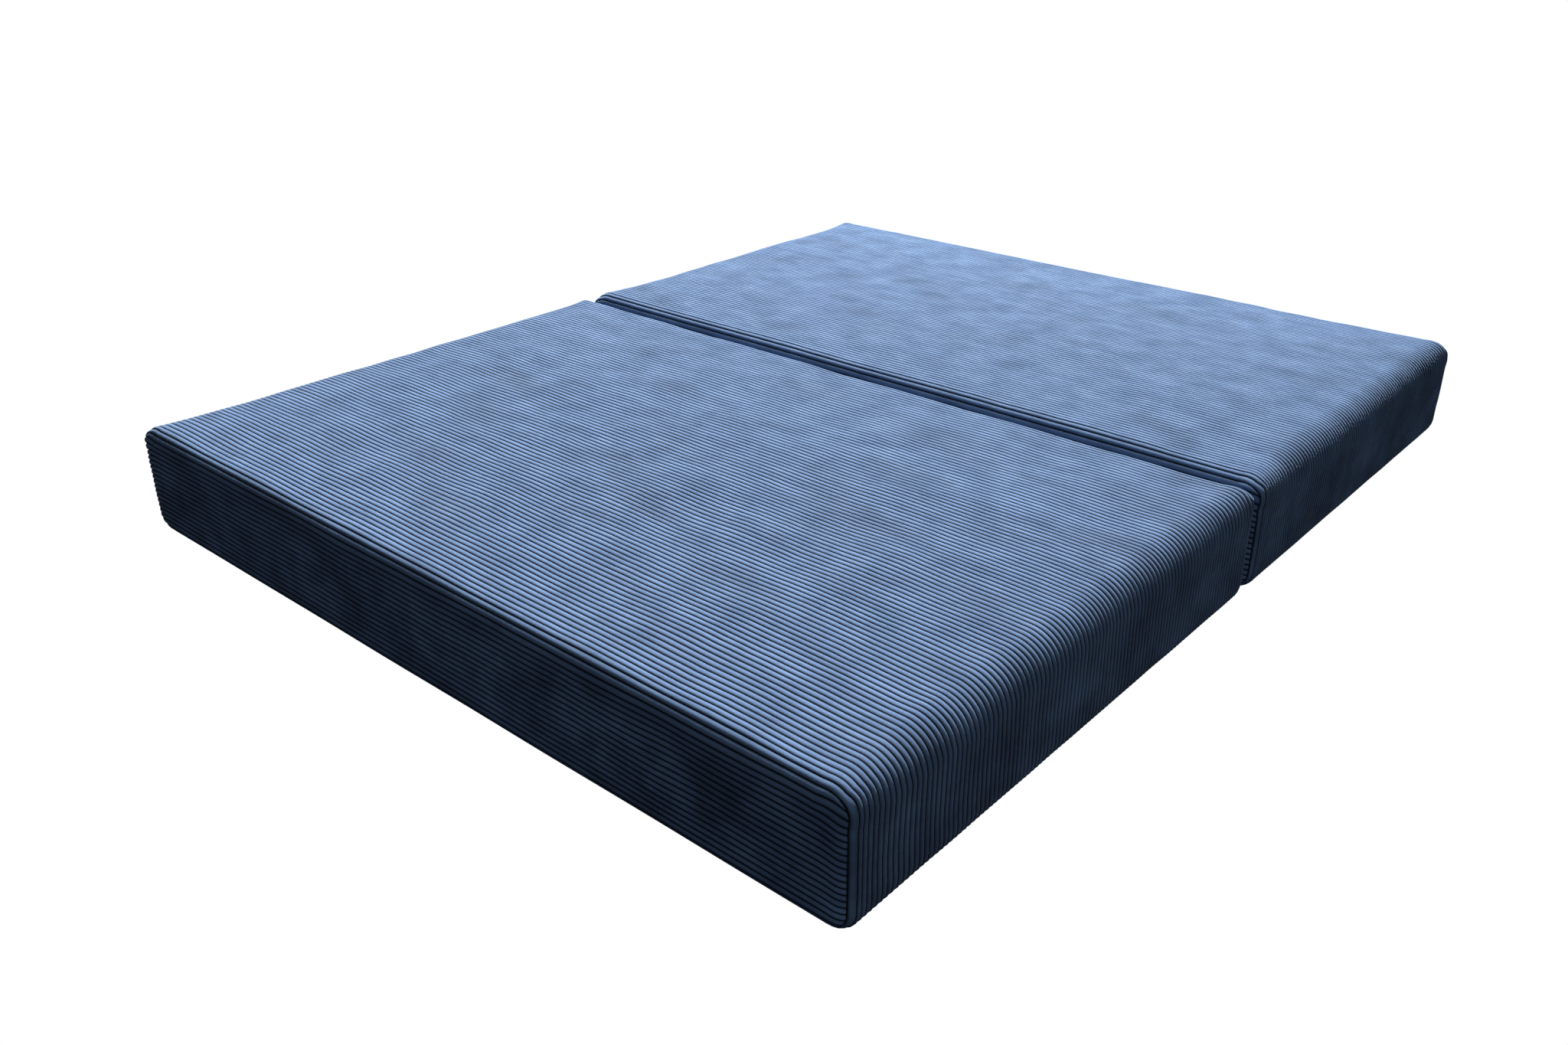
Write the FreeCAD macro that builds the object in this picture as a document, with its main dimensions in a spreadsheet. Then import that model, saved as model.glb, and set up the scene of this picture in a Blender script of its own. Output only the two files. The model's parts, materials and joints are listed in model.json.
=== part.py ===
"""Folding futon mattress: a seat block and a back block joined by a cloth hinge strip.

Millimetres. +X across the mattress, +Y from the seat block to the back block, +Z up.
The origin is on the floor, under the middle of the whole mattress. Each block is foam
in fibre wadding and an inner lining, in a zipped corduroy cover with a base panel.
"""

import FreeCAD, Part
import math
import os
import re

import Sketcher

PARTS_FOLDER = "parts"

# Driving dimensions, one cell each.
SIZES = {
    "mattress_width": 1616,
    "mattress_length": 2000,
    "mattress_height": 207,
    "seat_length": 1045,
    "slot_gap": 24,
    "end_roll_radius": 52,
    "base_roll_radius": 38,
    "side_edge_radius": 30,
    "cover_wall": 3,
    "cover_ease": 2.5,
    "lining_wall": 0.8,
    "wadding_wall": 14,
    "comfort_layer_height": 50,
    "base_margin": 46,
    "thread_size": 1,
    "thread_end_gap": 6,
    "zip_base_gap": 3.5,
    "zip_end_margin": 60,
    "zip_slit_width": 14,
    "tape_width": 18,
    "tape_wall": 0.8,
    "coil_width": 2.7,
    "coil_height": 2,
    "coil_parting": 1,
    "stop_length": 4,
    "slider_length": 14,
    "slider_plate": 1.6,
    "slider_lower_plate": 1,
    "slider_flange": 1.1,
    "slider_web": 0.4,
    "slider_web_length": 5,
    "crown_bar": 0.8,
    "crown_width": 1.6,
    "crown_length": 9,
    "pull_pin_radius": 0.7,
    "pull_arm_width": 1.3,
    "pull_arm_length": 6,
    "pull_plate_length": 24,
    "pull_plate_width": 8,
    "pull_hole_radius": 1.6,
    "running_clearance": 0.3,
    "strip_wall": 1.2,
    "strip_end_inset": 90,
    "stitch_size": 0.6,
    "stitch_row_spacing": 6,
}

# Sizes worked out from the driving ones, each in brackets so that it can be used in a sum.
HALF_WIDTH = "(mattress_width / 2)"
SLOT_MIDDLE = "(seat_length - mattress_length / 2 + slot_gap / 2)"
LINING_INSET = "(cover_wall + cover_ease)"
WADDING_INSET = "(cover_wall + cover_ease + lining_wall)"
FOAM_INSET = "(cover_wall + cover_ease + lining_wall + wadding_wall)"
FOAM_TOP = "(mattress_height - cover_wall - lining_wall - wadding_wall)"
END_FACE = "(-mattress_width / 2)"
ZIP_MIDDLE = "(base_roll_radius + zip_base_gap + tape_width + coil_parting / 2)"
TAPE_FACE = "(-mattress_width / 2 + cover_wall)"
COIL_FACE = "(-mattress_width / 2 + cover_wall - coil_height)"
PLATE_INSIDE = "(-mattress_width / 2 + cover_wall - coil_height - running_clearance)"
PLATE_OUTSIDE = "(-mattress_width / 2 + cover_wall - coil_height - running_clearance - slider_plate)"
PULL_AXIS_X = f"({PLATE_OUTSIDE} - running_clearance - pull_pin_radius)"
CROWN_INSIDE = f"({PULL_AXIS_X} - pull_pin_radius - running_clearance)"
LOWER_PLATE_INSIDE = f"({TAPE_FACE} + tape_wall + running_clearance)"
COIL_EDGE = "(coil_parting / 2 + coil_width)"
FLANGE_INSIDE = f"({COIL_EDGE} + running_clearance)"
SLIDER_HALF_WIDTH = f"({FLANGE_INSIDE} + slider_flange)"
FOLD_HALF_SPAN = "(slot_gap / 2 + base_margin - thread_size / 2)"

# Each block: where it starts and ends along Y, which way the slot is, and where its zip closes.
BLOCKS = {
    "seat": {
        "start": "(-mattress_length / 2)",
        "end": "(seat_length - mattress_length / 2)",
        "slot_side": 1,
    },
    "back": {
        "start": "(seat_length - mattress_length / 2 + slot_gap)",
        "end": "(mattress_length / 2)",
        "slot_side": -1,
    },
}

doc = FreeCAD.newDocument("futon_mattress")
sheet = doc.addObject("Spreadsheet::Sheet", "Sizes")
for row, (alias, value) in enumerate(SIZES.items(), start=1):
    sheet.set(f"A{row}", alias)
    sheet.set(f"B{row}", str(value))
    sheet.setAlias(f"B{row}", alias)
doc.recompute()

sub_parts = []


def bound(text):
    """A sum of size names as an expression on the sheet."""
    return re.sub(r"[a-z_]+", lambda word: f"Sizes.{word.group()}", text)


def bind(item, **formulas):
    """Bind properties, with __ for a dot, to sums of size names."""
    for path, formula in formulas.items():
        item.setExpression(path.replace("__", "."), bound(formula))
    return item


def sub_part(item, label):
    """Name a finished piece, so that it is written to its own file."""
    item.Label = label
    sub_parts.append(item)
    return item


def box(name, x_span, y_span, z_span):
    """A Part::Box between three pairs of sums."""
    solid = doc.addObject("Part::Box", name)
    return bind(
        solid,
        Length=f"({x_span[1]}) - ({x_span[0]})",
        Width=f"({y_span[1]}) - ({y_span[0]})",
        Height=f"({z_span[1]}) - ({z_span[0]})",
        Placement__Base__x=x_span[0],
        Placement__Base__y=y_span[0],
        Placement__Base__z=z_span[0],
    )


def upright_cylinder(name, radius, place_x, place_y, z_span):
    """A Part::Cylinder along Z."""
    solid = doc.addObject("Part::Cylinder", name)
    return bind(
        solid,
        Radius=radius,
        Height=f"({z_span[1]}) - ({z_span[0]})",
        Placement__Base__x=place_x,
        Placement__Base__y=place_y,
        Placement__Base__z=z_span[0],
    )


def cut(name, base, *tools):
    """Cut the tools from the base, one Part::Cut after another."""
    for number, tool in enumerate(tools, start=1):
        step = doc.addObject("Part::Cut", f"{name}_cut_{number}")
        step.Base = base
        step.Tool = tool
        base = step
    return base


def common(name, base, tool):
    """What two solids share."""
    shared = doc.addObject("Part::Common", name)
    shared.Base = base
    shared.Tool = tool
    return shared


def fuse(name, solids):
    """One solid from several that touch."""
    joined = doc.addObject("Part::MultiFuse", name)
    joined.Shapes = solids
    return joined


def group(name, solids):
    """Several separate solids in one node."""
    compound = doc.addObject("Part::Compound", name)
    compound.Links = solids
    return compound


def origin_plane(body, role):
    """The body's own origin plane with this role."""
    return next(plane for plane in body.Origin.OriginFeatures if plane.Role == role)


def rounded_profile(sketch, half_width, bottom, top, base_radius, top_radius):
    """A closed upright outline with rounded corners, its sizes bound by named constraints."""
    half, low, high, base_round, top_round = 800.0, 5.0, 200.0, 20.0, 30.0
    corners = (
        (-half + base_round, low + base_round, base_round, 180),
        (half - base_round, low + base_round, base_round, 270),
        (half - top_round, high - top_round, top_round, 0),
        (-half + top_round, high - top_round, top_round, 90),
    )
    arcs = []
    for centre_x, centre_z, radius, begin in corners:
        centre = FreeCAD.Vector(centre_x, centre_z, 0)
        circle = Part.Circle(centre, FreeCAD.Vector(0, 0, 1), radius)
        arc = Part.ArcOfCircle(circle, math.radians(begin), math.radians(begin + 90))
        arcs.append(sketch.addGeometry(arc, False))
    lines = []
    for first, second in ((0, 1), (1, 2), (2, 3), (3, 0)):
        begin = sketch.Geometry[arcs[first]].EndPoint
        finish = sketch.Geometry[arcs[second]].StartPoint
        line = sketch.addGeometry(Part.LineSegment(begin, finish), False)
        sketch.addConstraint(Sketcher.Constraint("Tangent", arcs[first], 2, line, 1))
        sketch.addConstraint(Sketcher.Constraint("Tangent", line, 2, arcs[second], 1))
        lines.append(line)
    sketch.addConstraint(Sketcher.Constraint("Horizontal", lines[0]))
    sketch.addConstraint(Sketcher.Constraint("Vertical", lines[1]))
    sketch.addConstraint(Sketcher.Constraint("Horizontal", lines[2]))
    sketch.addConstraint(Sketcher.Constraint("Vertical", lines[3]))
    sketch.addConstraint(Sketcher.Constraint("Equal", arcs[0], arcs[1]))
    sketch.addConstraint(Sketcher.Constraint("Equal", arcs[2], arcs[3]))
    named = {
        "base_radius": (Sketcher.Constraint("Radius", arcs[0], base_round), base_radius),
        "top_radius": (Sketcher.Constraint("Radius", arcs[2], top_round), top_radius),
        "right": (Sketcher.Constraint("DistanceX", -1, 1, lines[1], 1, half), half_width),
        "left": (Sketcher.Constraint("DistanceX", lines[3], 1, -1, 1, half), half_width),
        "bottom": (Sketcher.Constraint("DistanceY", -1, 1, lines[0], 1, low), bottom),
        "top": (Sketcher.Constraint("DistanceY", -1, 1, lines[2], 1, high), top),
    }
    for name, (constraint, formula) in named.items():
        sketch.renameConstraint(sketch.addConstraint(constraint), name)
        sketch.setExpression(f"Constraints.{name}", bound(formula))


def block_form(name, block, inset, bottom, top):
    """A block's outer form moved in by inset: an end profile padded along Y, its end edges rounded."""
    body = doc.addObject("PartDesign::Body", name)
    sketch = body.newObject("Sketcher::SketchObject", f"{name}_profile")
    sketch.AttachmentSupport = (origin_plane(body, "XZ_Plane"), [""])
    sketch.MapMode = "FlatFace"
    rounded_profile(
        sketch,
        half_width=f"{HALF_WIDTH} - {inset}",
        bottom=bottom,
        top=top,
        base_radius=f"base_roll_radius - {inset}",
        top_radius=f"end_roll_radius - {inset}",
    )
    pad = body.newObject("PartDesign::Pad", f"{name}_pad")
    pad.Profile = sketch
    pad.Midplane = True
    bind(pad, Length=f"{block['end']} - {block['start']} - 2 * {inset}")
    bind(body, Placement__Base__y=f"({block['start']} + {block['end']}) / 2")
    doc.recompute()
    ends = [
        f"Face{number}"
        for number, face in enumerate(pad.Shape.Faces, start=1)
        if face.Surface.TypeId == "Part::GeomPlane" and abs(face.Surface.Axis.y) > 0.5
    ]
    rounding = body.newObject("PartDesign::Fillet", f"{name}_rounding")
    rounding.Base = (pad, ends)
    bind(rounding, Radius=f"side_edge_radius - {inset}")
    body.Tip = rounding
    return body


def block_slab(name, block, inset, z_span):
    """A plain box over a block's plan, moved in by inset on all four sides."""
    x_span = (f"-{HALF_WIDTH} + {inset}", f"{HALF_WIDTH} - {inset}")
    y_span = (f"{block['start']} + {inset}", f"{block['end']} - {inset}")
    return box(name, x_span, y_span, z_span)


def corner_threads(name, block):
    """Four upright seam threads, each in the middle of a block's rounded corner."""
    threads = []
    for number, (side, end) in enumerate(((-1, -1), (1, -1), (1, 1), (-1, 1)), start=1):
        thread = doc.addObject("Part::Box", f"{name}_{number}")
        middle = f"(side_edge_radius - (side_edge_radius - thread_size / 2) * {0.5 ** 0.5})"
        corner_y = block["end"] if end > 0 else block["start"]
        turn = FreeCAD.Rotation(FreeCAD.Vector(0, 0, 1), 45)
        thread.Placement = FreeCAD.Placement(FreeCAD.Vector(0, 0, 0), turn)
        half_diagonal = f"thread_size * {0.5 ** 0.5}"
        bind(
            thread,
            Length="thread_size",
            Width="thread_size",
            Height="mattress_height - base_roll_radius - side_edge_radius - 2 * thread_end_gap",
            Placement__Base__x=f"{side} * ({HALF_WIDTH} - {middle})",
            Placement__Base__y=f"{corner_y} - {end} * {middle} - {half_diagonal}",
            Placement__Base__z="base_roll_radius + thread_end_gap",
        )
        threads.append(thread)
    return group(name, threads)


def make_filling(prefix, block):
    """Foam core, comfort layer, fibre wadding and inner lining."""
    foam_bottom = "cover_wall + lining_wall + wadding_wall"
    wadding_z = ("cover_wall + lining_wall", "mattress_height - cover_wall - lining_wall")
    lining_z = ("cover_wall", "mattress_height - cover_wall")
    foam = block_form(f"{prefix}_foam_form", block, FOAM_INSET, foam_bottom, FOAM_TOP)
    wadding = block_form(f"{prefix}_wadding_form", block, WADDING_INSET, *wadding_z)
    lining = block_form(f"{prefix}_lining_form", block, LINING_INSET, *lining_z)

    split = f"{FOAM_TOP} - comfort_layer_height"
    core_zone = block_slab(f"{prefix}_core_zone", block, "0", ("0", split))
    comfort_zone = block_slab(f"{prefix}_comfort_zone", block, "0", (split, "mattress_height"))
    sub_part(common(f"{prefix}_core", foam, core_zone), f"{prefix}_foam_core")
    sub_part(common(f"{prefix}_comfort", foam, comfort_zone), f"{prefix}_comfort_layer")
    sub_part(cut(f"{prefix}_wadding", wadding, foam), f"{prefix}_fibre_wadding")
    sub_part(cut(f"{prefix}_lining", lining, wadding), f"{prefix}_inner_lining")


def make_cover(prefix, block, hinge_form):
    """Corduroy cover, base panel and the threads of their seams."""
    outer = block_form(f"{prefix}_cover_form", block, "0", "0", "mattress_height")
    inner = block_form(
        f"{prefix}_cover_void", block, "cover_wall", "cover_wall", "mattress_height - cover_wall"
    )
    base_z = ("0", "cover_wall")
    opening = block_slab(f"{prefix}_base_opening", block, "(base_margin - thread_size / 2)", base_z)
    panel = block_slab(f"{prefix}_panel", block, "(base_margin + thread_size / 2)", base_z)
    slit = box(
        f"{prefix}_slit",
        (f"{END_FACE} - cover_wall", TAPE_FACE),
        (
            f"{block['start']} + zip_end_margin - stop_length",
            f"{block['end']} - zip_end_margin + stop_length",
        ),
        (f"{ZIP_MIDDLE} - zip_slit_width / 2", f"{ZIP_MIDDLE} + zip_slit_width / 2"),
    )
    threads = corner_threads(f"{prefix}_corner_thread", block)
    cover = cut(f"{prefix}_cover", outer, inner, opening, slit, threads, hinge_form)
    sub_part(cover, f"{prefix}_corduroy_cover")
    sub_part(panel, f"{prefix}_base_panel")
    sub_part(cut(f"{prefix}_ring", opening, panel), f"{prefix}_base_seam_thread")
    sub_part(threads, f"{prefix}_corner_seam_threads")


def halves(name, x_span, y_span, near, far):
    """Two boxes, above and below the zip's middle line."""
    upper = box(f"{name}_upper", x_span, y_span, (f"{ZIP_MIDDLE} + {near}", f"{ZIP_MIDDLE} + {far}"))
    lower = box(f"{name}_lower", x_span, y_span, (f"{ZIP_MIDDLE} - {far}", f"{ZIP_MIDDLE} - {near}"))
    return [upper, lower]


def make_zip(prefix, block):
    """Zip tapes, coil, end stops, slider and pull, low on the -X end of a block."""
    first = f"({block['start']} + zip_end_margin)"
    last = f"({block['end']} - zip_end_margin)"
    away = block["slot_side"]
    closed_end, open_end = (first, last) if away > 0 else (last, first)
    half_parting = "coil_parting / 2"

    tape_y = (f"{first} - stop_length", f"{last} + stop_length")
    tapes = halves(
        f"{prefix}_tape",
        (TAPE_FACE, f"{TAPE_FACE} + tape_wall"),
        tape_y,
        half_parting,
        f"({half_parting} + tape_width)",
    )
    sub_part(group(f"{prefix}_tapes", tapes), f"{prefix}_zip_tapes")

    coil_x = (COIL_FACE, TAPE_FACE)
    coils = halves(f"{prefix}_coil", coil_x, (first, last), half_parting, COIL_EDGE)
    sub_part(group(f"{prefix}_coils", coils), f"{prefix}_zip_coil")

    closed_span = ordered(f"{closed_end} - {away} * stop_length", closed_end, away)
    open_span = ordered(open_end, f"{open_end} + {away} * stop_length", away)
    closed_stops = halves(f"{prefix}_closed_stop", coil_x, closed_span, half_parting, COIL_EDGE)
    open_stop = box(
        f"{prefix}_open_stop",
        coil_x,
        open_span,
        (f"{ZIP_MIDDLE} - {COIL_EDGE}", f"{ZIP_MIDDLE} + {COIL_EDGE}"),
    )
    sub_part(group(f"{prefix}_stops", closed_stops + [open_stop]), f"{prefix}_zip_end_stops")

    slider_middle = f"({closed_end} + {away} * (slider_length / 2 + running_clearance))"
    make_slider(prefix, slider_middle, away)
    make_pull(prefix, slider_middle, away)


def ordered(begin, finish, direction):
    """A span along Y with its lower end first, when direction is +1 or -1."""
    return (begin, finish) if direction > 0 else (finish, begin)


def make_slider(prefix, middle, away):
    """Upper and lower plates joined by a web between the coil halves, with a crown for the pull."""
    name = f"{prefix}_slider"
    along = (f"{middle} - slider_length / 2", f"{middle} + slider_length / 2")
    full_width = (f"{ZIP_MIDDLE} - {SLIDER_HALF_WIDTH}", f"{ZIP_MIDDLE} + {SLIDER_HALF_WIDTH}")
    upper = box(f"{name}_upper", (PLATE_OUTSIDE, PLATE_INSIDE), along, full_width)
    lower_x = (LOWER_PLATE_INSIDE, f"{LOWER_PLATE_INSIDE} + slider_lower_plate")
    lower = box(f"{name}_lower", lower_x, along, full_width)
    flange_x = (PLATE_INSIDE, f"{TAPE_FACE} - running_clearance")
    flanges = halves(f"{name}_flange", flange_x, along, FLANGE_INSIDE, SLIDER_HALF_WIDTH)
    tip = f"{middle} - {away} * slider_length / 2"
    web_y = ordered(tip, f"{tip} + {away} * slider_web_length", away)
    web_z = (f"{ZIP_MIDDLE} - slider_web / 2", f"{ZIP_MIDDLE} + slider_web / 2")
    web = box(f"{name}_web", (PLATE_INSIDE, LOWER_PLATE_INSIDE), web_y, web_z)
    crown_z = (f"{ZIP_MIDDLE} - crown_width / 2", f"{ZIP_MIDDLE} + crown_width / 2")
    crown_y = (f"{middle} - crown_length / 2", f"{middle} + crown_length / 2")
    crown_x = (f"{CROWN_INSIDE} - crown_bar", CROWN_INSIDE)
    bar = box(f"{name}_crown_bar", crown_x, crown_y, crown_z)
    post_x = (CROWN_INSIDE, PLATE_OUTSIDE)
    near_post = box(f"{name}_near_post", post_x, (crown_y[0], f"{crown_y[0]} + crown_bar"), crown_z)
    far_post = box(f"{name}_far_post", post_x, (f"{crown_y[1]} - crown_bar", crown_y[1]), crown_z)
    solids = [upper, lower, *flanges, web, bar, near_post, far_post]
    sub_part(fuse(name, solids), f"{prefix}_zip_slider")


def make_pull(prefix, middle, away):
    """A flat pull on a pin under the crown, lying along the zip towards the slot."""
    name = f"{prefix}_pull"
    arm_inside = "(crown_width / 2 + running_clearance)"
    arm_outside = f"({arm_inside} + pull_arm_width)"
    thick_x = (f"{PULL_AXIS_X} - pull_pin_radius", f"{PULL_AXIS_X} + pull_pin_radius")
    pin_z = (f"{ZIP_MIDDLE} - {arm_outside}", f"{ZIP_MIDDLE} + {arm_outside}")
    pin = upright_cylinder(f"{name}_pin", "pull_pin_radius", PULL_AXIS_X, middle, pin_z)
    plate_start = f"({middle} + {away} * pull_arm_length)"
    arm_y = ordered(middle, plate_start, away)
    arms = halves(f"{name}_arm", thick_x, arm_y, arm_inside, arm_outside)
    plate_end = f"({plate_start} + {away} * pull_plate_length)"
    plate_z = (f"{ZIP_MIDDLE} - pull_plate_width / 2", f"{ZIP_MIDDLE} + pull_plate_width / 2")
    plate = box(f"{name}_plate", thick_x, ordered(plate_start, plate_end, away), plate_z)
    hole = doc.addObject("Part::Cylinder", f"{name}_hole")
    hole.Placement = FreeCAD.Placement(
        FreeCAD.Vector(0, 0, 0), FreeCAD.Rotation(FreeCAD.Vector(0, 1, 0), 90)
    )
    bind(
        hole,
        Radius="pull_hole_radius",
        Height="4 * pull_pin_radius",
        Placement__Base__x=f"{PULL_AXIS_X} - 2 * pull_pin_radius",
        Placement__Base__y=f"{plate_end} - {away} * pull_plate_width / 2",
        Placement__Base__z=ZIP_MIDDLE,
    )
    whole = fuse(f"{name}_joined", [pin, *arms, plate])
    sub_part(cut(name, whole, hole), f"{prefix}_zip_pull")


def stitch_rows(name, side):
    """Two thread rows that hold one edge of the hinge strip, let into its underside."""
    rows = []
    for number in (1, 2):
        reach = f"({FOLD_HALF_SPAN} - {number} * stitch_row_spacing)"
        centre = f"({SLOT_MIDDLE} + {side} * {reach})"
        row_y = (f"{centre} - stitch_size / 2", f"{centre} + stitch_size / 2")
        x_span = (
            f"-{HALF_WIDTH} + strip_end_inset + stitch_row_spacing",
            f"{HALF_WIDTH} - strip_end_inset - stitch_row_spacing",
        )
        rows.append(box(f"{name}_{number}", x_span, row_y, ("0", "stitch_size")))
    return group(name, rows)


def strip_form():
    """The hinge strip's full form, flat across the slot at floor level."""
    x_span = (f"-{HALF_WIDTH} + strip_end_inset", f"{HALF_WIDTH} - strip_end_inset")
    y_span = (f"{SLOT_MIDDLE} - {FOLD_HALF_SPAN}", f"{SLOT_MIDDLE} + {FOLD_HALF_SPAN}")
    return box("hinge_form", x_span, y_span, ("0", "strip_wall"))


def make_hinge(hinge_form):
    """The cloth strip that joins the two blocks at their undersides, with its thread rows."""
    seat_rows = stitch_rows("seat_stitches", -1)
    back_rows = stitch_rows("back_stitches", 1)
    sub_part(cut("strip", hinge_form, seat_rows, back_rows), "hinge_strip")
    sub_part(seat_rows, "seat_strip_stitching")
    sub_part(back_rows, "back_strip_stitching")


def check_and_write():
    """Stop on any failed feature, then write each sub-part to its own file."""
    failed = [item.Name for item in doc.Objects if {"Invalid", "Error"} & set(item.State)]
    for item in sub_parts:
        shape = item.Shape
        if shape.isNull() or not shape.isValid() or not shape.Solids or shape.Volume <= 0:
            failed.append(item.Label)
    if failed:
        raise RuntimeError(f"failed pieces: {failed}")
    os.makedirs(PARTS_FOLDER, exist_ok=True)
    for item in sub_parts:
        item.Shape.exportStep(f"{PARTS_FOLDER}/{item.Label}.step")
        size = item.Shape.optimalBoundingBox(False, False)
        print(
            f"{item.Label}: {len(item.Shape.Solids)} solid(s), {item.Shape.Volume / 1000:.1f} cm3, "
            f"x {size.XMin:.1f}..{size.XMax:.1f}, y {size.YMin:.1f}..{size.YMax:.1f}, "
            f"z {size.ZMin:.1f}..{size.ZMax:.1f}"
        )


hinge = strip_form()
for block_name, block_ends in BLOCKS.items():
    make_filling(block_name, block_ends)
    make_cover(block_name, block_ends, hinge)
    make_zip(block_name, block_ends)
make_hinge(hinge)
doc.recompute()
check_and_write()
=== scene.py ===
"""A folding futon mattress in wide-wale corduroy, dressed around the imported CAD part."""

import json
import logging
import math
from dataclasses import dataclass, field
from enum import Enum
from typing import Callable, Optional

import bmesh
import bpy
import numpy as np
from mathutils import Matrix, Vector, kdtree


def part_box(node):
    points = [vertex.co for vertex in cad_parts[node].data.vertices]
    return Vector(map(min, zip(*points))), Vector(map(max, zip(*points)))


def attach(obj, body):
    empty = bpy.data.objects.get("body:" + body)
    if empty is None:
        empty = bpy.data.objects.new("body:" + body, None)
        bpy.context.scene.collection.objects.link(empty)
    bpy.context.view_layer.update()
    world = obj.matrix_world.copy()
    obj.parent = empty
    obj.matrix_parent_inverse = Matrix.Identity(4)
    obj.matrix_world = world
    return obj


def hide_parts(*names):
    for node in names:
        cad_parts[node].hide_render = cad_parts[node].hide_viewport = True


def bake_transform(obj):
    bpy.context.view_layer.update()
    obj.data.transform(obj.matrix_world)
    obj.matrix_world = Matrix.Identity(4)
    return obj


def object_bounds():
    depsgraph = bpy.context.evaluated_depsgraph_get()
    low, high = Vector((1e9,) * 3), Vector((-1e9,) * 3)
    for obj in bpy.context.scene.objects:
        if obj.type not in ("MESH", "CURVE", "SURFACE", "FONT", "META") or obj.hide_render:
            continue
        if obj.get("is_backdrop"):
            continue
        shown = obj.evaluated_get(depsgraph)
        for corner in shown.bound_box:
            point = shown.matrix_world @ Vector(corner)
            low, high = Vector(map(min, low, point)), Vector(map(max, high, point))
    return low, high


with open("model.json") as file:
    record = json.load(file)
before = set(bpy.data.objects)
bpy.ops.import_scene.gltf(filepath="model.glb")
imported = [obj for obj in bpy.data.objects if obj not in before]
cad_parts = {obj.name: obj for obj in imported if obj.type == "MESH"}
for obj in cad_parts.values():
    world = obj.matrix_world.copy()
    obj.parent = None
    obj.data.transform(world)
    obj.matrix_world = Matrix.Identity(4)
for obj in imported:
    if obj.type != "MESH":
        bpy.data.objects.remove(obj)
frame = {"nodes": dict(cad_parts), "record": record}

CAD_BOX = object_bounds()
LOG = logging.getLogger("futon")
Array = np.ndarray
Colour = tuple[float, float, float]
Place = tuple[float, float, float]


# ---------------------------------------------------------------- small tools


class Face(Enum):
    """Which way a block's long side looks."""

    FRONT = -1
    BACK = 1


class Weave(Enum):
    """How the threads of a plain cloth cross."""

    PLAIN = 0.0
    TWILL = 1.0


def smoothstep(low: float, high: float, value: Array) -> Array:
    """Rises smoothly from 0 at low to 1 at high.

    Args:
        low: where the rise starts.
        high: where the rise ends.
        value: the numbers to map.

    Returns:
        The mapped numbers, from 0 to 1.
    """
    t = np.clip((value - low) / (high - low), 0, 1)
    return t * t * (3 - 2 * t)


def bell(value: Array, width: float) -> Array:
    """A bump of height 1 at 0 that fades over about the given width."""
    return np.exp(-((value / width) ** 2))


@dataclass
class SlowWave:
    """A smooth wandering field over a flat map, from a few seeded waves.

    Args:
        seed: the seed of its directions and phases.
        shortest: the shortest wavelength, in metres.
        longest: the longest wavelength, in metres.
        count: how many waves it adds up.
    """

    seed: int
    shortest: float
    longest: float
    count: int = 9

    def __post_init__(self) -> None:
        """Draws the waves."""
        draw = np.random.default_rng(self.seed)
        length = self.shortest * (self.longest / self.shortest) ** draw.random(self.count)
        turn = draw.random(self.count) * 2 * math.pi
        self.kx = 2 * math.pi / length * np.cos(turn)
        self.ky = 2 * math.pi / length * np.sin(turn)
        self.phase = draw.random(self.count) * 2 * math.pi

    def at(self, x: Array, y: Array) -> Array:
        """Reads the field.

        Args:
            x: first map coordinates.
            y: second map coordinates.

        Returns:
            Values mostly between -1 and 1.
        """
        total = np.zeros(np.broadcast(x, y).shape)
        for kx, ky, phase in zip(self.kx, self.ky, self.phase):
            total += np.sin(kx * x + ky * y + phase)
        return total / math.sqrt(self.count)


def shape_mesh(bm: bmesh.types.BMesh, name: str = "shape") -> bpy.types.Mesh:
    """Turns a bmesh, which is used up, into a mesh.

    Args:
        bm: the bmesh.
        name: the mesh's name.

    Returns:
        The mesh.
    """
    mesh = bpy.data.meshes.new(name)
    bm.to_mesh(mesh)
    bm.free()
    return mesh


def new_piece(name: str, bm: bmesh.types.BMesh) -> bpy.types.Object:
    """Turns a bmesh into a named, smoothly shaded object at the origin.

    Args:
        name: the piece's name.
        bm: its mesh, which is used up.

    Returns:
        The object, linked to the scene.
    """
    mesh = shape_mesh(bm, name)
    mesh.polygons.foreach_set("use_smooth", [True] * len(mesh.polygons))
    piece = bpy.data.objects.new(name, mesh)
    bpy.context.scene.collection.objects.link(piece)
    return piece


def rows_of(values: bpy.types.bpy_prop_collection, name: str) -> Array:
    """A mesh's vectors, such as its vertices' "co", as an array of rows.

    Args:
        values: the mesh's items, such as its vertices.
        name: which vector of each item.

    Returns:
        One row for each item.
    """
    rows = np.empty(len(values) * 3, np.float32)
    values.foreach_get(name, rows)
    return rows.reshape(-1, 3).astype(float)


def search_tree(points: Array) -> kdtree.KDTree:
    """A tree that finds the nearest of some points.

    Args:
        points: rows of x, y, z.

    Returns:
        The tree, ready to search.
    """
    tree = kdtree.KDTree(len(points))
    for index, point in enumerate(points.tolist()):
        tree.insert(point, index)
    tree.balance()
    return tree


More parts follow.
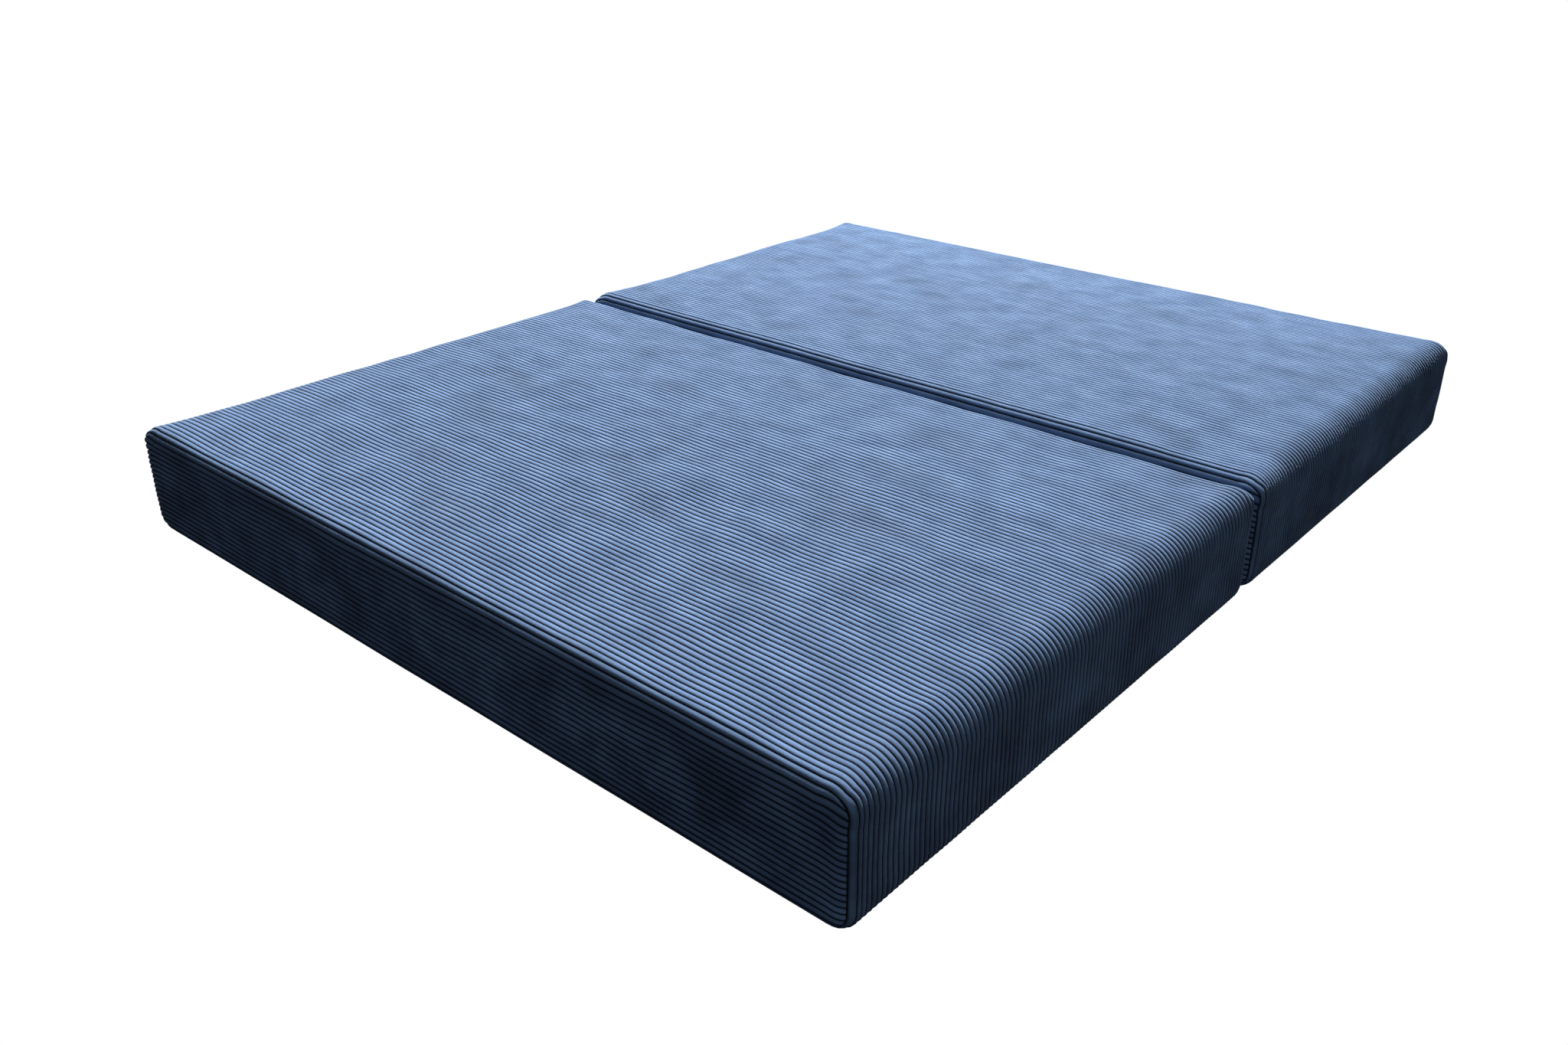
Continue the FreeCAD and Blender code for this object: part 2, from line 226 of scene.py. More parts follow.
@dataclass
class ClothGrid:
    """A grid of cells in a mesh, laid out by a rule.

    Args:
        bm: the mesh it is added to.
        columns: cells across.
        rows: cells along.
    """

    bm: bmesh.types.BMesh
    columns: int
    rows: int

    def __post_init__(self) -> None:
        """Makes the flat grid and finds each vertex's column and row."""
        made = bmesh.ops.create_grid(
            self.bm, x_segments=self.columns, y_segments=self.rows, size=0.5
        )
        self.verts = made["verts"]
        flat = np.array([v.co[:2] for v in self.verts])
        self.column = np.rint((flat[:, 0] + 0.5) * self.columns).astype(int)
        self.row = np.rint((flat[:, 1] + 0.5) * self.rows).astype(int)
        self.at = {(c, r): v for c, r, v in zip(self.column.tolist(), self.row.tolist(), self.verts)}

    def lay(self, place: Callable[[Array, Array], Array]) -> None:
        """Moves each vertex to where the rule puts its column and row."""
        for vertex, point in zip(self.verts, place(self.column, self.row).tolist()):
            vertex.co = point

    def line(self, column: int, rows: range) -> list[bmesh.types.BMVert]:
        """The vertices of one column."""
        return [self.at[column, row] for row in rows]

    def cross_line(self, columns: range, row: int) -> list[bmesh.types.BMVert]:
        """The vertices of one row."""
        return [self.at[column, row] for column in columns]


def evaluated_mesh(piece: bpy.types.Object) -> bpy.types.Mesh:
    """A new mesh of a piece with its modifiers applied."""
    depsgraph = bpy.context.evaluated_depsgraph_get()
    return bpy.data.meshes.new_from_object(piece.evaluated_get(depsgraph))


def bake_modifiers(piece: bpy.types.Object) -> None:
    """Puts the evaluated mesh in place of a piece's own mesh and drops its modifiers.

    Args:
        piece: the piece.
    """
    made = evaluated_mesh(piece)
    piece.modifiers.clear()
    piece.data = made


def strew(bm: bmesh.types.BMesh, shape: bpy.types.Mesh, places: list[Matrix]) -> None:
    """Adds a copy of a small shape at every place.

    Args:
        bm: the mesh that gets the copies.
        shape: the shape, which is removed afterwards.
        places: where each copy goes.
    """
    for place in places:
        copy = shape.copy()
        copy.transform(place)
        bm.from_mesh(copy)
        bpy.data.meshes.remove(copy)
    bpy.data.meshes.remove(shape)


def soft_block(size: Vector, bevel: float, segments: int) -> bmesh.types.BMesh:
    """A box about the origin with rounded edges.

    Args:
        size: its three sizes.
        bevel: how far the rounding reaches.
        segments: steps in the rounding.

    Returns:
        The closed mesh.
    """
    bm = bmesh.new()
    bmesh.ops.create_cube(bm, size=1)
    bmesh.ops.scale(bm, vec=size, verts=bm.verts)
    bmesh.ops.bevel(
        bm,
        geom=bm.edges[:],
        offset=bevel,
        segments=segments,
        affect="EDGES",
        profile=0.5,
        material=-1,
    )
    return bm


# ------------------------------------------------------------------ the cover


# Between these angles from straight up, the profile turns into an end and out of it again.
END_BEGINS = (math.radians(36), math.radians(52))
END_STOPS = (math.radians(100), math.radians(150))


@dataclass(frozen=True)
class Wales:
    """The raised cords of a corduroy."""

    pitch: float = 0.010
    height: float = 0.0028
    roundness: float = 2.0
    samples: tuple[float, ...] = (0, 0.07, 0.2, 0.35, 0.5, 0.65, 0.8, 0.93)

    def count(self, length: float) -> int:
        """How many whole cords fit a length of cloth."""
        return round(length / self.pitch)

    def steps(self, cords: int) -> Array:
        """Where the mesh has lines, counted in cords.

        Args:
            cords: how many cords the cloth has.

        Returns:
            Rising numbers from 0 to cords, closest together in the grooves.
        """
        return np.append((np.arange(cords)[:, None] + np.array(self.samples)).ravel(), cords)

    def rise(self, phase: Array) -> Array:
        """How far the pile stands above the grooves, as a share of the full height."""
        across = np.abs(2 * np.mod(phase, 1) - 1)
        return np.sqrt(np.clip(1 - across**self.roundness, 0, 1))


@dataclass
class BlockForm:
    """The ground of a cover, at the bottom of its grooves: a rolled profile, rounded over at two sides.

    Args:
        low: lowest corner of the finished cover.
        high: highest corner of the finished cover.
        hem_edge: how far from the middle the hem ends under the block.
        hem_margin: how far in from the front and back sides the hem ends.
        zip_middle: height of the zip on the left end.
        wales: the cords of its cloth.
    """

    low: Vector
    high: Vector
    hem_edge: float
    hem_margin: float
    zip_middle: float
    wales: Wales = Wales()
    end_roll: float = 0.052
    base_roll: float = 0.038
    side_depth: float = 0.024
    soft_top: float = 0.026
    soft_side: float = 0.020
    corner_depth: float = 0.020
    soft_base: float = 0.030
    band: float = 0.020
    slit_half: float = 0.007
    seam_tuck: float = 0.0045
    tuck_reach: float = 0.035
    edge_tuck: float = 0.0004
    flat_columns: int = 30
    shoulder_columns: int = 10

    def __post_init__(self) -> None:
        """Works out the ground's sizes and the columns of its profile."""
        ground = self.wales.height
        self.half_width = self.high.x - ground
        self.top = self.high.z - ground
        self.base = self.low.z + ground
        self.roll = self.end_roll - ground
        self.foot = self.base_roll - ground
        self.front = self.low.y + ground
        self.back = self.high.y - ground
        self.flat_edge = self.half_width - self.roll
        turns = (0, 6, 12, 18, 24, 29, 33, 36, 38, 39.2, 40) + tuple(range(45, 91, 5))
        shoulder = np.radians(turns)
        flat = np.linspace(0, self.flat_edge, self.flat_columns + 1)[:-1]
        slit = (0.025, 0.012, self.slit_half, -self.slit_half, -0.013)
        wall = np.array([0.130, 0.105] + [self.zip_middle + rise for rise in slit])
        sole = np.radians(np.arange(90, 181, 15))
        x = [flat, self.flat_edge + self.roll * np.sin(shoulder), np.full(len(wall), self.half_width)]
        rolled = self.top - self.roll + self.roll * np.cos(shoulder)
        z = [np.full(self.flat_columns, self.top), rolled, wall]
        turn = [np.zeros(self.flat_columns), shoulder, np.full(len(wall), math.pi / 2)]
        x += [self.half_width - self.foot + self.foot * np.sin(sole), np.array([self.hem_edge])]
        z += [self.base + self.foot + self.foot * np.cos(sole), np.array([self.base])]
        turn += [sole, np.array([math.pi])]
        half_x, half_z, half_turn = np.concatenate(x), np.concatenate(z), np.concatenate(turn)
        self.x = np.concatenate([-half_x[:0:-1], half_x])
        self.z = np.concatenate([half_z[:0:-1], half_z])
        self.turn = np.concatenate([-half_turn[:0:-1], half_turn])
        run = np.concatenate([[0], np.cumsum(np.hypot(np.diff(self.x), np.diff(self.z)))])
        self.run = run - run[-1] / 2
        self.seam_start = len(half_x) - 1 + self.flat_columns + self.shoulder_columns
        self.cloth_length = self.back - self.front - 2 * self.side_depth + 2 * self.band

    def softness(self, turn: Array) -> Array:
        """How deep the rounding at the long sides reaches in from the profile, by where the profile faces.

        Args:
            turn: angles from straight up, in radians.

        Returns:
            Depths in metres.
        """
        upright = np.cos(turn) ** 2
        edge = np.where(np.cos(turn) > 0, self.soft_top, self.soft_base)
        return self.soft_side + (edge - self.soft_side) * upright

    def depth(self, turn: Array) -> Array:
        """How far the rounding at the long sides reaches along the mattress, by where the profile faces."""
        return self.corner_depth + (self.side_depth - self.corner_depth) * np.cos(turn) ** 2

    def drawn_in(self, columns: slice, tip: float) -> tuple[Array, Array]:
        """Where some columns lie once the rounding at a long side has turned them in.

        Args:
            columns: which columns of the profile.
            tip: how far the rounding has turned, in radians.

        Returns:
            Their x and their z.
        """
        turn = self.turn[columns]
        inset = self.softness(turn) * (1 - math.cos(tip))
        return self.x[columns] - inset * np.sin(turn), self.z[columns] - inset * np.cos(turn)

    def inside(self, x: Array, z: Array) -> tuple[Array, Array]:
        """How far points lie inside the profile, and which way its nearest part faces.

        Args:
            x: across the mattress.
            z: heights.

        Returns:
            Distances in metres, and angles from straight up in radians.
        """
        across = np.abs(x)
        upper = (across > self.flat_edge) & (z > self.top - self.roll)
        lower = (across > self.half_width - self.foot) & (z < self.base + self.foot)
        du, dz = across - self.flat_edge, z - self.top + self.roll
        eu, ez = across - self.half_width + self.foot, z - self.base - self.foot
        choices = np.stack([self.top - z, self.half_width - across, z - self.base])
        nearest = choices.argmin(0)
        depth = choices.min(0)
        facing = np.choose(nearest, [0.0, math.pi / 2, math.pi])
        depth = np.where(upper, self.roll - np.hypot(du, dz), depth)
        facing = np.where(upper, np.arctan2(du, dz), facing)
        depth = np.where(lower, self.foot - np.hypot(eu, ez), depth)
        facing = np.where(lower, np.arctan2(eu, ez), facing)
        return depth, facing

    def top_cloth(self, across: Array) -> Callable[[Array, Array], Array]:
        """The rule that lays the cloth of the top and both ends.

        Args:
            across: distances over the cloth from its front edge, one for each row.

        Returns:
            A rule from column and row indices to points.
        """

        def place(column: Array, row: Array) -> Array:
            """Lays the points of some columns and rows.

            Args:
                column: column indices.
                row: row indices.

            Returns:
                Rows of x, y, z.
            """
            turn, half = self.turn[column], self.cloth_length / 2
            distance = np.minimum(across[row], self.cloth_length - across[row])
            on_end = smoothstep(*END_BEGINS, np.abs(turn))
            on_end = on_end * (1 - smoothstep(*END_STOPS, np.abs(turn)))
            pitch = self.wales.pitch
            wide = np.where(distance < pitch, distance / pitch, np.exp(-(distance - pitch) / self.tuck_reach))
            distance = distance + self.seam_tuck * on_end * wide * (distance < half * 0.9)
            distance = np.where(distance < 1e-9, self.edge_tuck * on_end, distance)
            tip = math.radians(45) * np.clip(1 - distance / self.band, 0, 1)
            inset = self.softness(turn) * (1 - np.cos(tip))
            flat = np.clip(distance - self.band, 0, None)
            depth = self.depth(turn)
            offset = depth * (1 - np.sin(tip)) + flat
            offset += (self.side_depth - depth) * smoothstep(0, 0.12, flat)
            from_front = across[row] < half
            y = np.where(from_front, self.front + offset, self.back - offset)
            x = self.x[column] - inset * np.sin(turn)
            return np.stack([x, y, self.z[column] - inset * np.cos(turn)], 1)

        return place


@dataclass
class SideLayout:
    """How the cloth of a long side is laid, row by row from the top edge down.

    Args:
        form: the block's form.
        face: which long side it is.
    """

    form: BlockForm
    face: Face

    def __post_init__(self) -> None:
        """Works out the rows down the middle and where they meet the corner seams."""
        form, corner = self.form, math.radians(45)
        seam = slice(form.seam_start, None)
        seam_x, seam_z = form.drawn_in(seam, corner)
        seam_offset = form.depth(form.turn[seam]) * (1 - math.sin(corner))
        along = np.concatenate([[0], np.cumsum(np.hypot(np.diff(seam_x), np.diff(seam_z)))])
        wall = form.top - form.base - form.soft_top - form.soft_base
        length = wall + 2 * form.band
        self.cords = form.wales.count(length)
        self.phase = form.wales.steps(self.cords)
        down = self.phase / self.cords * length
        tip = corner * (1 + np.clip(down / form.band, 0, 1))
        heel = corner * (1 + np.clip((length - down) / form.band, 0, 1))
        upper = form.top - form.soft_top * (1 - np.cos(tip))
        lower = form.base + form.soft_base * (1 - np.cos(heel))
        level = form.top - form.soft_top - (down - form.band)
        self.middle_z = np.where(down < form.band, upper, np.where(down > form.band + wall, lower, level))
        level_end = seam_z[0] - (self.middle_z[0] - self.middle_z) * (
            (seam_z[0] - seam_z[-1]) / (self.middle_z[0] - self.middle_z[-1])
        )
        share = np.interp(-level_end, -seam_z, along)
        share[-1] = along[-1]
        self.end_x = np.interp(share, along, seam_x)
        self.end_z = np.interp(share, along, seam_z)
        self.end_offset = np.interp(share, along, seam_offset)
        ease = smoothstep(0, 0.006, share) * smoothstep(0, 0.006, along[-1] - share)
        self.mesh_end_x = self.end_x - form.edge_tuck * ease
        first = form.seam_start - form.shoulder_columns
        shoulder = slice(first, form.seam_start + 1)
        x, z = form.drawn_in(shoulder, corner)
        outward = (x - form.flat_edge) / (x[-1] - form.flat_edge)
        drop = (z[0] - z) / (z[0] - z[-1])
        flat = form.x[(form.x > -form.flat_edge - 1e-9) & (form.x < form.flat_edge + 1e-9)]
        self.outward = np.concatenate([-outward[:0:-1], np.zeros(len(flat)), outward[1:]])
        self.drop = np.concatenate([drop[:0:-1], np.zeros(len(flat)), drop[1:]])
        edge = np.full(form.shoulder_columns, form.flat_edge)
        self.flat_x = np.concatenate([-edge, flat, edge])
        self.columns = len(self.flat_x) - 1

    def hem_rows(self, across: Array) -> int:
        """How many rows of the top cloth's spacing reach the hem's edge."""
        reach = self.form.band + self.form.hem_margin - self.form.side_depth
        return int(np.searchsorted(across, reach))

    def cloth(self, across: Array) -> Callable[[Array, Array], Array]:
        """The rule that lays the side and the hem that turns under it.

        Args:
            across: the top cloth's row distances, which the hem shares at its ends.

        Returns:
            A rule from column and row indices to points.
        """
        form, rows = self.form, len(self.phase)
        hem = across[: self.hem_rows(across) + 1]

        def place(column: Array, row: Array) -> Array:
            """Lays the points of some columns and rows.

            Args:
                column: column indices.
                row: row indices.

            Returns:
                Rows of x, y, z.
            """
            side = np.minimum(row, rows - 1)
            under = np.clip(row - rows + 1, 0, None)
            reach = self.mesh_end_x[side] - form.flat_edge
            x = self.flat_x[column] + self.outward[column] * reach
            middle = self.middle_z[side]
            z = middle - (middle - self.end_z[side]) * self.drop[column]
            depth, facing = form.inside(x, z)
            lean = np.clip(1 - depth / form.softness(facing), 0, 1)
            offset = form.depth(facing) * (1 - np.sqrt(1 - lean**2))
            tip = math.radians(45) * np.clip(1 - hem[under] / form.band, 0, 1)
            turned = form.side_depth * (1 - np.sin(tip)) + np.clip(hem[under] - form.band, 0, None)
            z = np.where(under > 0, form.base + form.soft_base * (1 - np.cos(tip)), z)
            offset = np.where(under > 0, turned, offset)
            y = form.front + offset if self.face is Face.FRONT else form.back - offset
            return np.stack([x, y, z], 1)

        return place

    def seam_line(self, end: int) -> Array:
        """The corner seam as points.

        Args:
            end: -1 for the left end, 1 for the right one.

        Returns:
            Rows of x, y, z down the seam.
        """
        front = self.face is Face.FRONT
        y = self.form.front + self.end_offset if front else self.form.back - self.end_offset
        return np.stack([end * self.end_x, y, self.end_z], 1)


def close_seam(
    bm: bmesh.types.BMesh, first: list[bmesh.types.BMVert], second: list[bmesh.types.BMVert]
) -> None:
    """Joins two cloth edges that run side by side by a narrow strip of triangles.

    Args:
        bm: the mesh that holds both edges.
        first: the vertices along one edge.
        second: the vertices along the other, from the same end.
    """
    here = there = 0
    while here < len(first) - 1 or there < len(second) - 1:
        if there == len(second) - 1:
            step = True
        elif here == len(first) - 1:
            step = False
        else:
            onward = (first[here + 1].co - second[there].co).length
            step = onward <= (second[there + 1].co - first[here].co).length
        third = first[here + 1] if step else second[there + 1]
        bm.faces.new((first[here], second[there], third))
        here, there = (here + 1, there) if step else (here, there + 1)


@dataclass
class Swell:
    """How the filling rounds a block out, found by inflating a coarse cloth cage of it.

    Args:
        form: the block's form.
        cell: the cage's cell size.
        most: how far its furthest point may move.
        between_blocks: share kept of the movement towards the other block.
    """

    form: BlockForm
    cell: float = 0.03
    most: float = 0.0045
    between_blocks: float = 0.4
    pressure: float = 4.0
    last_frame: int = 20
    neighbours: int = 8

    def __post_init__(self) -> None:
        """Runs the simulation."""
        self.rest = self.move = None
        self.inflate()

    def inflate(self) -> None:
        """Simulates the cage and keeps where its points were and how they moved."""
        form = self.form
        low = Vector((-form.half_width, form.front, form.base))
        high = Vector((form.half_width, form.back, form.top))
        bm = soft_block(high - low, 0.035, 2)
        bmesh.ops.translate(bm, vec=(low + high) / 2, verts=bm.verts)
        cage = new_piece("swell_cage", bm)
        remesh = cage.modifiers.new("Remesh", "REMESH")
        remesh.mode = "VOXEL"
        remesh.voxel_size = self.cell
        bake_modifiers(cage)
        self.rest = rows_of(cage.data.vertices, "co")
        pins = cage.vertex_groups.new(name="held")
        held = np.nonzero(self.rest[:, 2] < form.base + self.cell / 2)[0]
        pins.add(held.tolist(), 1.0, "REPLACE")
        cloth = cage.modifiers.new("Cloth", "CLOTH")
        cloth.settings.quality = 4
        cloth.settings.use_pressure = True
        cloth.settings.uniform_pressure_force = self.pressure
        cloth.settings.vertex_group_mass = "held"
        cloth.settings.effector_weights.gravity = 0
        cloth.point_cache.frame_start = 1
        cloth.point_cache.frame_end = self.last_frame
        for step in range(1, self.last_frame + 1):
            bpy.context.scene.frame_set(step)
        swollen = evaluated_mesh(cage)
        self.move = rows_of(swollen.vertices, "co") - self.rest
        furthest = np.linalg.norm(self.move, axis=1).max()
        LOG.info("swell: cage of %d points, raw move %.1f mm", len(self.rest), furthest * 1000)
        self.move *= self.most / furthest
        self.move[:, 1] *= self.between_blocks
        bpy.data.meshes.remove(swollen)
        bpy.data.objects.remove(cage)
        bpy.context.scene.frame_set(1)

    def at(self, points: Array) -> Array:
        """How far the swelling moves points of the cover.

        Args:
            points: rows of x, y, z at rest.

        Returns:
            Rows of movements, none where no simulation was run.
        """
        moved = np.zeros_like(points)
        if self.move is None:
            return moved
        tree = search_tree(self.rest)
        found = [tree.find_n(point, self.neighbours) for point in points.tolist()]
        index = np.array([[hit[1] for hit in hits] for hits in found])
        distance = np.array([[hit[2] for hit in hits] for hits in found])
        weight = (1 - distance / (distance[:, -1:] + 1e-9)) ** 2 + 1e-6
        weight /= weight.sum(1, keepdims=True)
        return (self.move[index] * weight[:, :, None]).sum(1)


@dataclass
class CorduroyCover:
    """The corduroy of one block: the top and both ends in one cloth, and a side cloth front and back.

    Args:
        prefix: the block's name.
        form: its ground.
        slit: where the zip's slit starts and ends along the left end.
        strip: the box of the hinge strip, over which the pile lies flat.
        seed: the seed of its unevenness.
        seam_dip: how deep a corner seam lies.
        lip: how far the slit's edge is turned in.
        corner_draw: how far a corner is drawn out square.
        corner_fill: how far a corner beside the slot is filled out.
        fill_reach: how far from its seam that reaches.
        seam_width: how far a corner seam's dip reaches.
        weld: the distance within which the cloths' edges are joined.
        waver: how far the cords stray sideways.
        level: how far the cords of a long side stray up and down.
        wander: how far the cloth rises and falls in long waves.
        dents: the same in short ones.
        uneven: how much the cords differ in height, as a share.
        ear: how far the cloth stands out where a corner seam begins.
        ear_hollow: how deep it dips under that.
        ear_reach: how far both reach.
    """

    prefix: str
    form: BlockForm
    slit: tuple[float, float]
    strip: tuple[Vector, Vector]
    seed: int
    seam_dip: float = 0.0008
    lip: float = 0.003
    corner_draw: float = 0.0105
    corner_fill: float = 0.004
    fill_reach: float = 0.014
    seam_width: float = 0.0012
    weld: float = 2e-5
    waver: float = 0.0011
    level: float = 0.0009
    wander: float = 0.0010
    dents: float = 0.0003
    uneven: float = 0.07
    ear: float = 0.0036
    ear_hollow: float = 0.0016
    ear_reach: float = 0.010

    def build(self) -> bpy.types.Object:
        """Makes the cover and gives it its shape.

        Returns:
            The finished piece.
        """
        form, wales = self.form, self.form.wales
        bm = bmesh.new()
        phase_layer = bm.verts.layers.float.new("phase")
        cloth_layer = bm.verts.layers.float_vector.new("cloth")
        cords = wales.count(form.cloth_length)
        phase = wales.steps(cords)
        across = phase / cords * form.cloth_length
        top = ClothGrid(bm, len(form.x) - 1, len(across) - 1)
        top.lay(form.top_cloth(across))
        top_beats, top_down = phase[top.row].tolist(), across[top.row].tolist()
        top_along = form.run[top.column].tolist()
        for vertex, beat, along, down in zip(top.verts, top_beats, top_along, top_down):
            vertex[phase_layer] = beat
            vertex[cloth_layer] = (along, down, 0)
        last_row = len(across) - 1
        self.layouts = []
        for face in Face:
            layout = SideLayout(form, face)
            self.layouts.append(layout)
            hem_rows = layout.hem_rows(across)
            side = ClothGrid(bm, layout.columns, len(layout.phase) - 1 + hem_rows)
            side.lay(layout.cloth(across))
            beats = np.concatenate([layout.phase, layout.cords + phase[1 : hem_rows + 1]])
            start, way = (0, -1) if face is Face.FRONT else (form.cloth_length, 1)
            for vertex, row in zip(side.verts, side.row.tolist()):
                vertex[phase_layer] = beats[row]
                vertex[cloth_layer] = (vertex.co.x, start + way * beats[row] * wales.pitch, 0)
            edge_row = 0 if face is Face.FRONT else last_row
            down = range(form.seam_start, len(form.x))
            mirrored = range(len(form.x) - 1 - form.seam_start, -1, -1)
            seam_rows = range(len(layout.phase))
            close_seam(bm, top.cross_line(down, edge_row), side.line(layout.columns, seam_rows))
            close_seam(bm, top.cross_line(mirrored, edge_row), side.line(0, seam_rows))
        rim = [v for v in bm.verts if v.is_boundary or not v.is_manifold]
        bmesh.ops.remove_doubles(bm, verts=rim, dist=self.weld)
        bmesh.ops.recalc_face_normals(bm, faces=bm.faces)
        self.cut_slit(bm, phase_layer)
        self.turn_hem(bm, phase_layer)
        piece = new_piece(f"{self.prefix}_cover_cloth", bm)
        self.shape(piece.data)
        return piece

    def cut_slit(self, bm: bmesh.types.BMesh, phase_layer: bmesh.types.BMLayerItem) -> None:
        """Opens the cloth over the zip and turns its edge inwards.

        Args:
            bm: the cover's mesh.
            phase_layer: the layer that counts the cords.
        """
        form = self.form
        left = 0.001 - form.half_width
        inside = []
        for face in bm.faces:
            middle = face.calc_center_median()
            if middle.x < left and abs(middle.z - form.zip_middle) < form.slit_half:
                if self.slit[0] < middle.y < self.slit[1]:
                    inside.append(face)
        edges = {edge for face in inside for edge in face.edges}
        border = [edge for edge in edges if sum(face in inside for face in edge.link_faces) == 1]
        bmesh.ops.delete(bm, geom=inside, context="FACES")
        self.fold_edge(bm, border, phase_layer, lambda point: Vector((self.lip, 0, 0)))

    def turn_hem(self, bm: bmesh.types.BMesh, phase_layer: bmesh.types.BMLayerItem) -> None:
        """Turns the hem's inner edge in over the base panel.

        Args:
            bm: the cover's mesh.
            phase_layer: the layer that counts the cords.
        """
        form = self.form
        border = [e for e in bm.edges if e.is_boundary and max(v.co.z for v in e.verts) < form.base + 0.001]
        middle = (form.front + form.back) / 2

        def inwards(point: Vector) -> Vector:
            """Points from the hem to the middle of the base, and a little up.

            Args:
                point: a point of the hem.

            Returns:
                How far it is moved.
            """
            at_end = abs(point.x) > form.hem_edge - 1e-4
            across = -math.copysign(0.002, point.x) if at_end else 0
            along = math.copysign(0.002, middle - point.y) if not at_end else 0
            return Vector((across, along, 0.0005))

        self.fold_edge(bm, border, phase_layer, inwards)

    @staticmethod
    def fold_edge(
        bm: bmesh.types.BMesh,
        border: list[bmesh.types.BMEdge],
        phase_layer: bmesh.types.BMLayerItem,
        direction: Callable[[Vector], Vector],
    ) -> None:
        """Extends an open edge by one narrow fold.

        Args:
            bm: the mesh.
            border: the open edges.
            phase_layer: the layer that counts the cords.
            direction: which way a point of the fold goes.
        """
        made = bmesh.ops.extrude_edge_only(bm, edges=border)["geom"]
        for vertex in made:
            if isinstance(vertex, bmesh.types.BMVert):
                vertex.co += direction(vertex.co)
                vertex[phase_layer] = 0

    def seam_distance(self, points: Array) -> Array:
        """How far points near the corners lie from the corner seams.

        Args:
            points: rows of x, y, z on the ground.

        Returns:
            Distances in metres, 1 for points far away.
        """
        form = self.form
        lines = [layout.seam_line(end) for layout in self.layouts for end in (-1, 1)]
        tree = search_tree(np.concatenate(lines))
        from_side = np.minimum(points[:, 1] - form.front, form.back - points[:, 1])
        near = np.nonzero((np.abs(points[:, 0]) > form.flat_edge) & (from_side < 0.05))[0]
        distance = np.ones(len(points))
        distance[near] = [tree.find(point)[2] for point in points[near].tolist()]
        return distance

    def shape(self, mesh: bpy.types.Mesh) -> None:
        """Swells the ground, lets it wander a little and raises the cords.

        Args:
            mesh: the cover's mesh, with its phase and cloth attributes.
        """
        form, wales = self.form, self.form.wales
        points = rows_of(mesh.vertices, "co")
        x, y, z = points.T.copy()
        phase = np.empty(len(points), np.float32)
        mesh.attributes["phase"].data.foreach_get("value", phase)
        rise = wales.rise(phase)
        seam = self.seam_distance(points)
        # Painted shade: taper lowers the cords at the corner seams, the zip slit and the hinge strip. The
        # same share, stored in the cloth attribute, darkens the cloth there, and over the hinge strip the
        # cloth comes out fully dark.
        taper = smoothstep(-0.0006, 0.0018, seam)
        above = np.abs(z - form.zip_middle) - form.slit_half
        beyond = np.maximum(self.slit[0] - y, y - self.slit[1])
        on_zip = (x < 0.012 - form.half_width) & (above < 0.02)
        lip = 0.3 + 0.7 * smoothstep(0, 0.006, np.maximum(above, beyond))
        taper *= np.where(on_zip, lip, 1)
        low, high = self.strip
        margin = 0.003
        strip = (z < form.base + 2 * margin) & (np.abs(x) < high.x + margin)
        strip &= (y > low.y - margin) & (y < high.y + margin)
        taper *= np.where(strip, 0.0, 1)
        uneven = SlowWave(self.seed + 3, 0.05, 0.3)
        taper *= 1 + self.uneven * uneven.at(x * 0.5 + z, y + z)

        above_base = smoothstep(0.02, 0.11, z)
        points += Swell(form).at(points) * above_base[:, None]
        from_side = np.minimum(y - form.front, form.back - y)
        sideways = SlowWave(self.seed, 0.18, 0.7)
        waver = self.waver * sideways.at(x + z, y * 1.2) * smoothstep(0.02, 0.10, from_side)
        points[:, 1] += waver
        depth, _ = form.inside(x, z)
        level = self.level * sideways.at(x * 1.3, z + y) * smoothstep(0.03, 0.06, depth)
        level = level * (from_side < 0.0088)
        points[:, 2] += level
        points += self.squared_corners(np.stack([x, y, z], 1))
        slot_side = 1 if (low.y + high.y) > form.front + form.back else -1
        beside_slot = y * slot_side > (form.front + form.back) / 2 * slot_side
        points[:, 1] += slot_side * self.corner_fill * bell(seam, self.fill_reach) * beside_slot
        self.put(mesh, points)
        normals = rows_of(mesh.vertex_normals, "vector")
        wander = SlowWave(self.seed + 1, 0.16, 0.6).at(x + 0.6 * z, y + 0.8 * z)
        dents = SlowWave(self.seed + 2, 0.05, 0.12).at(x + 0.8 * z, y + 0.6 * z)
        lift = (self.wander * wander + self.dents * dents) * smoothstep(0.03, 0.09, z)
        lift += wales.height * rise * taper - self.seam_dip * bell(seam, self.seam_width)
        points += normals * lift[:, None]
        points += self.dog_ears(np.stack([x, y, z], 1))
        self.put(mesh, points)
        cloth = rows_of(mesh.attributes["cloth"].data, "vector")
        # The cloth attribute's third value is the mask of painted shade, low in the grooves and where taper
        # is low.
        cloth[:, 2] = rise * np.clip(taper, 0, 1)
        mesh.attributes["cloth"].data.foreach_set("vector", cloth.astype(np.float32).ravel())
        mesh.attributes.remove(mesh.attributes["phase"])

    def squared_corners(self, points: Array) -> Array:
        """How the shoulder of the profile is drawn out squarer towards the corner seams.

        Args:
            points: rows of x, y, z on the ground.

        Returns:
            Rows of movements.
        """
        form = self.form
        x, y, z = points.T
        out = np.clip(np.abs(x) - form.flat_edge, 0, None)
        up = np.clip(z - form.top + form.roll, 0, None)
        turn = np.arctan2(out, up)
        reach = np.clip(np.hypot(out, up) / form.roll, 0, 1)
        from_side = np.clip(np.minimum(y - form.front, form.back - y), 0, None)
        push = self.corner_draw * np.sin(2 * turn) ** 1.5 * reach**2 * np.exp(-from_side / 0.06)
        push = np.where((out > 0) & (up > 0), push, 0)
        return np.stack([np.sign(x) * np.sin(turn) * push, np.zeros(len(x)), np.cos(turn) * push], 1)

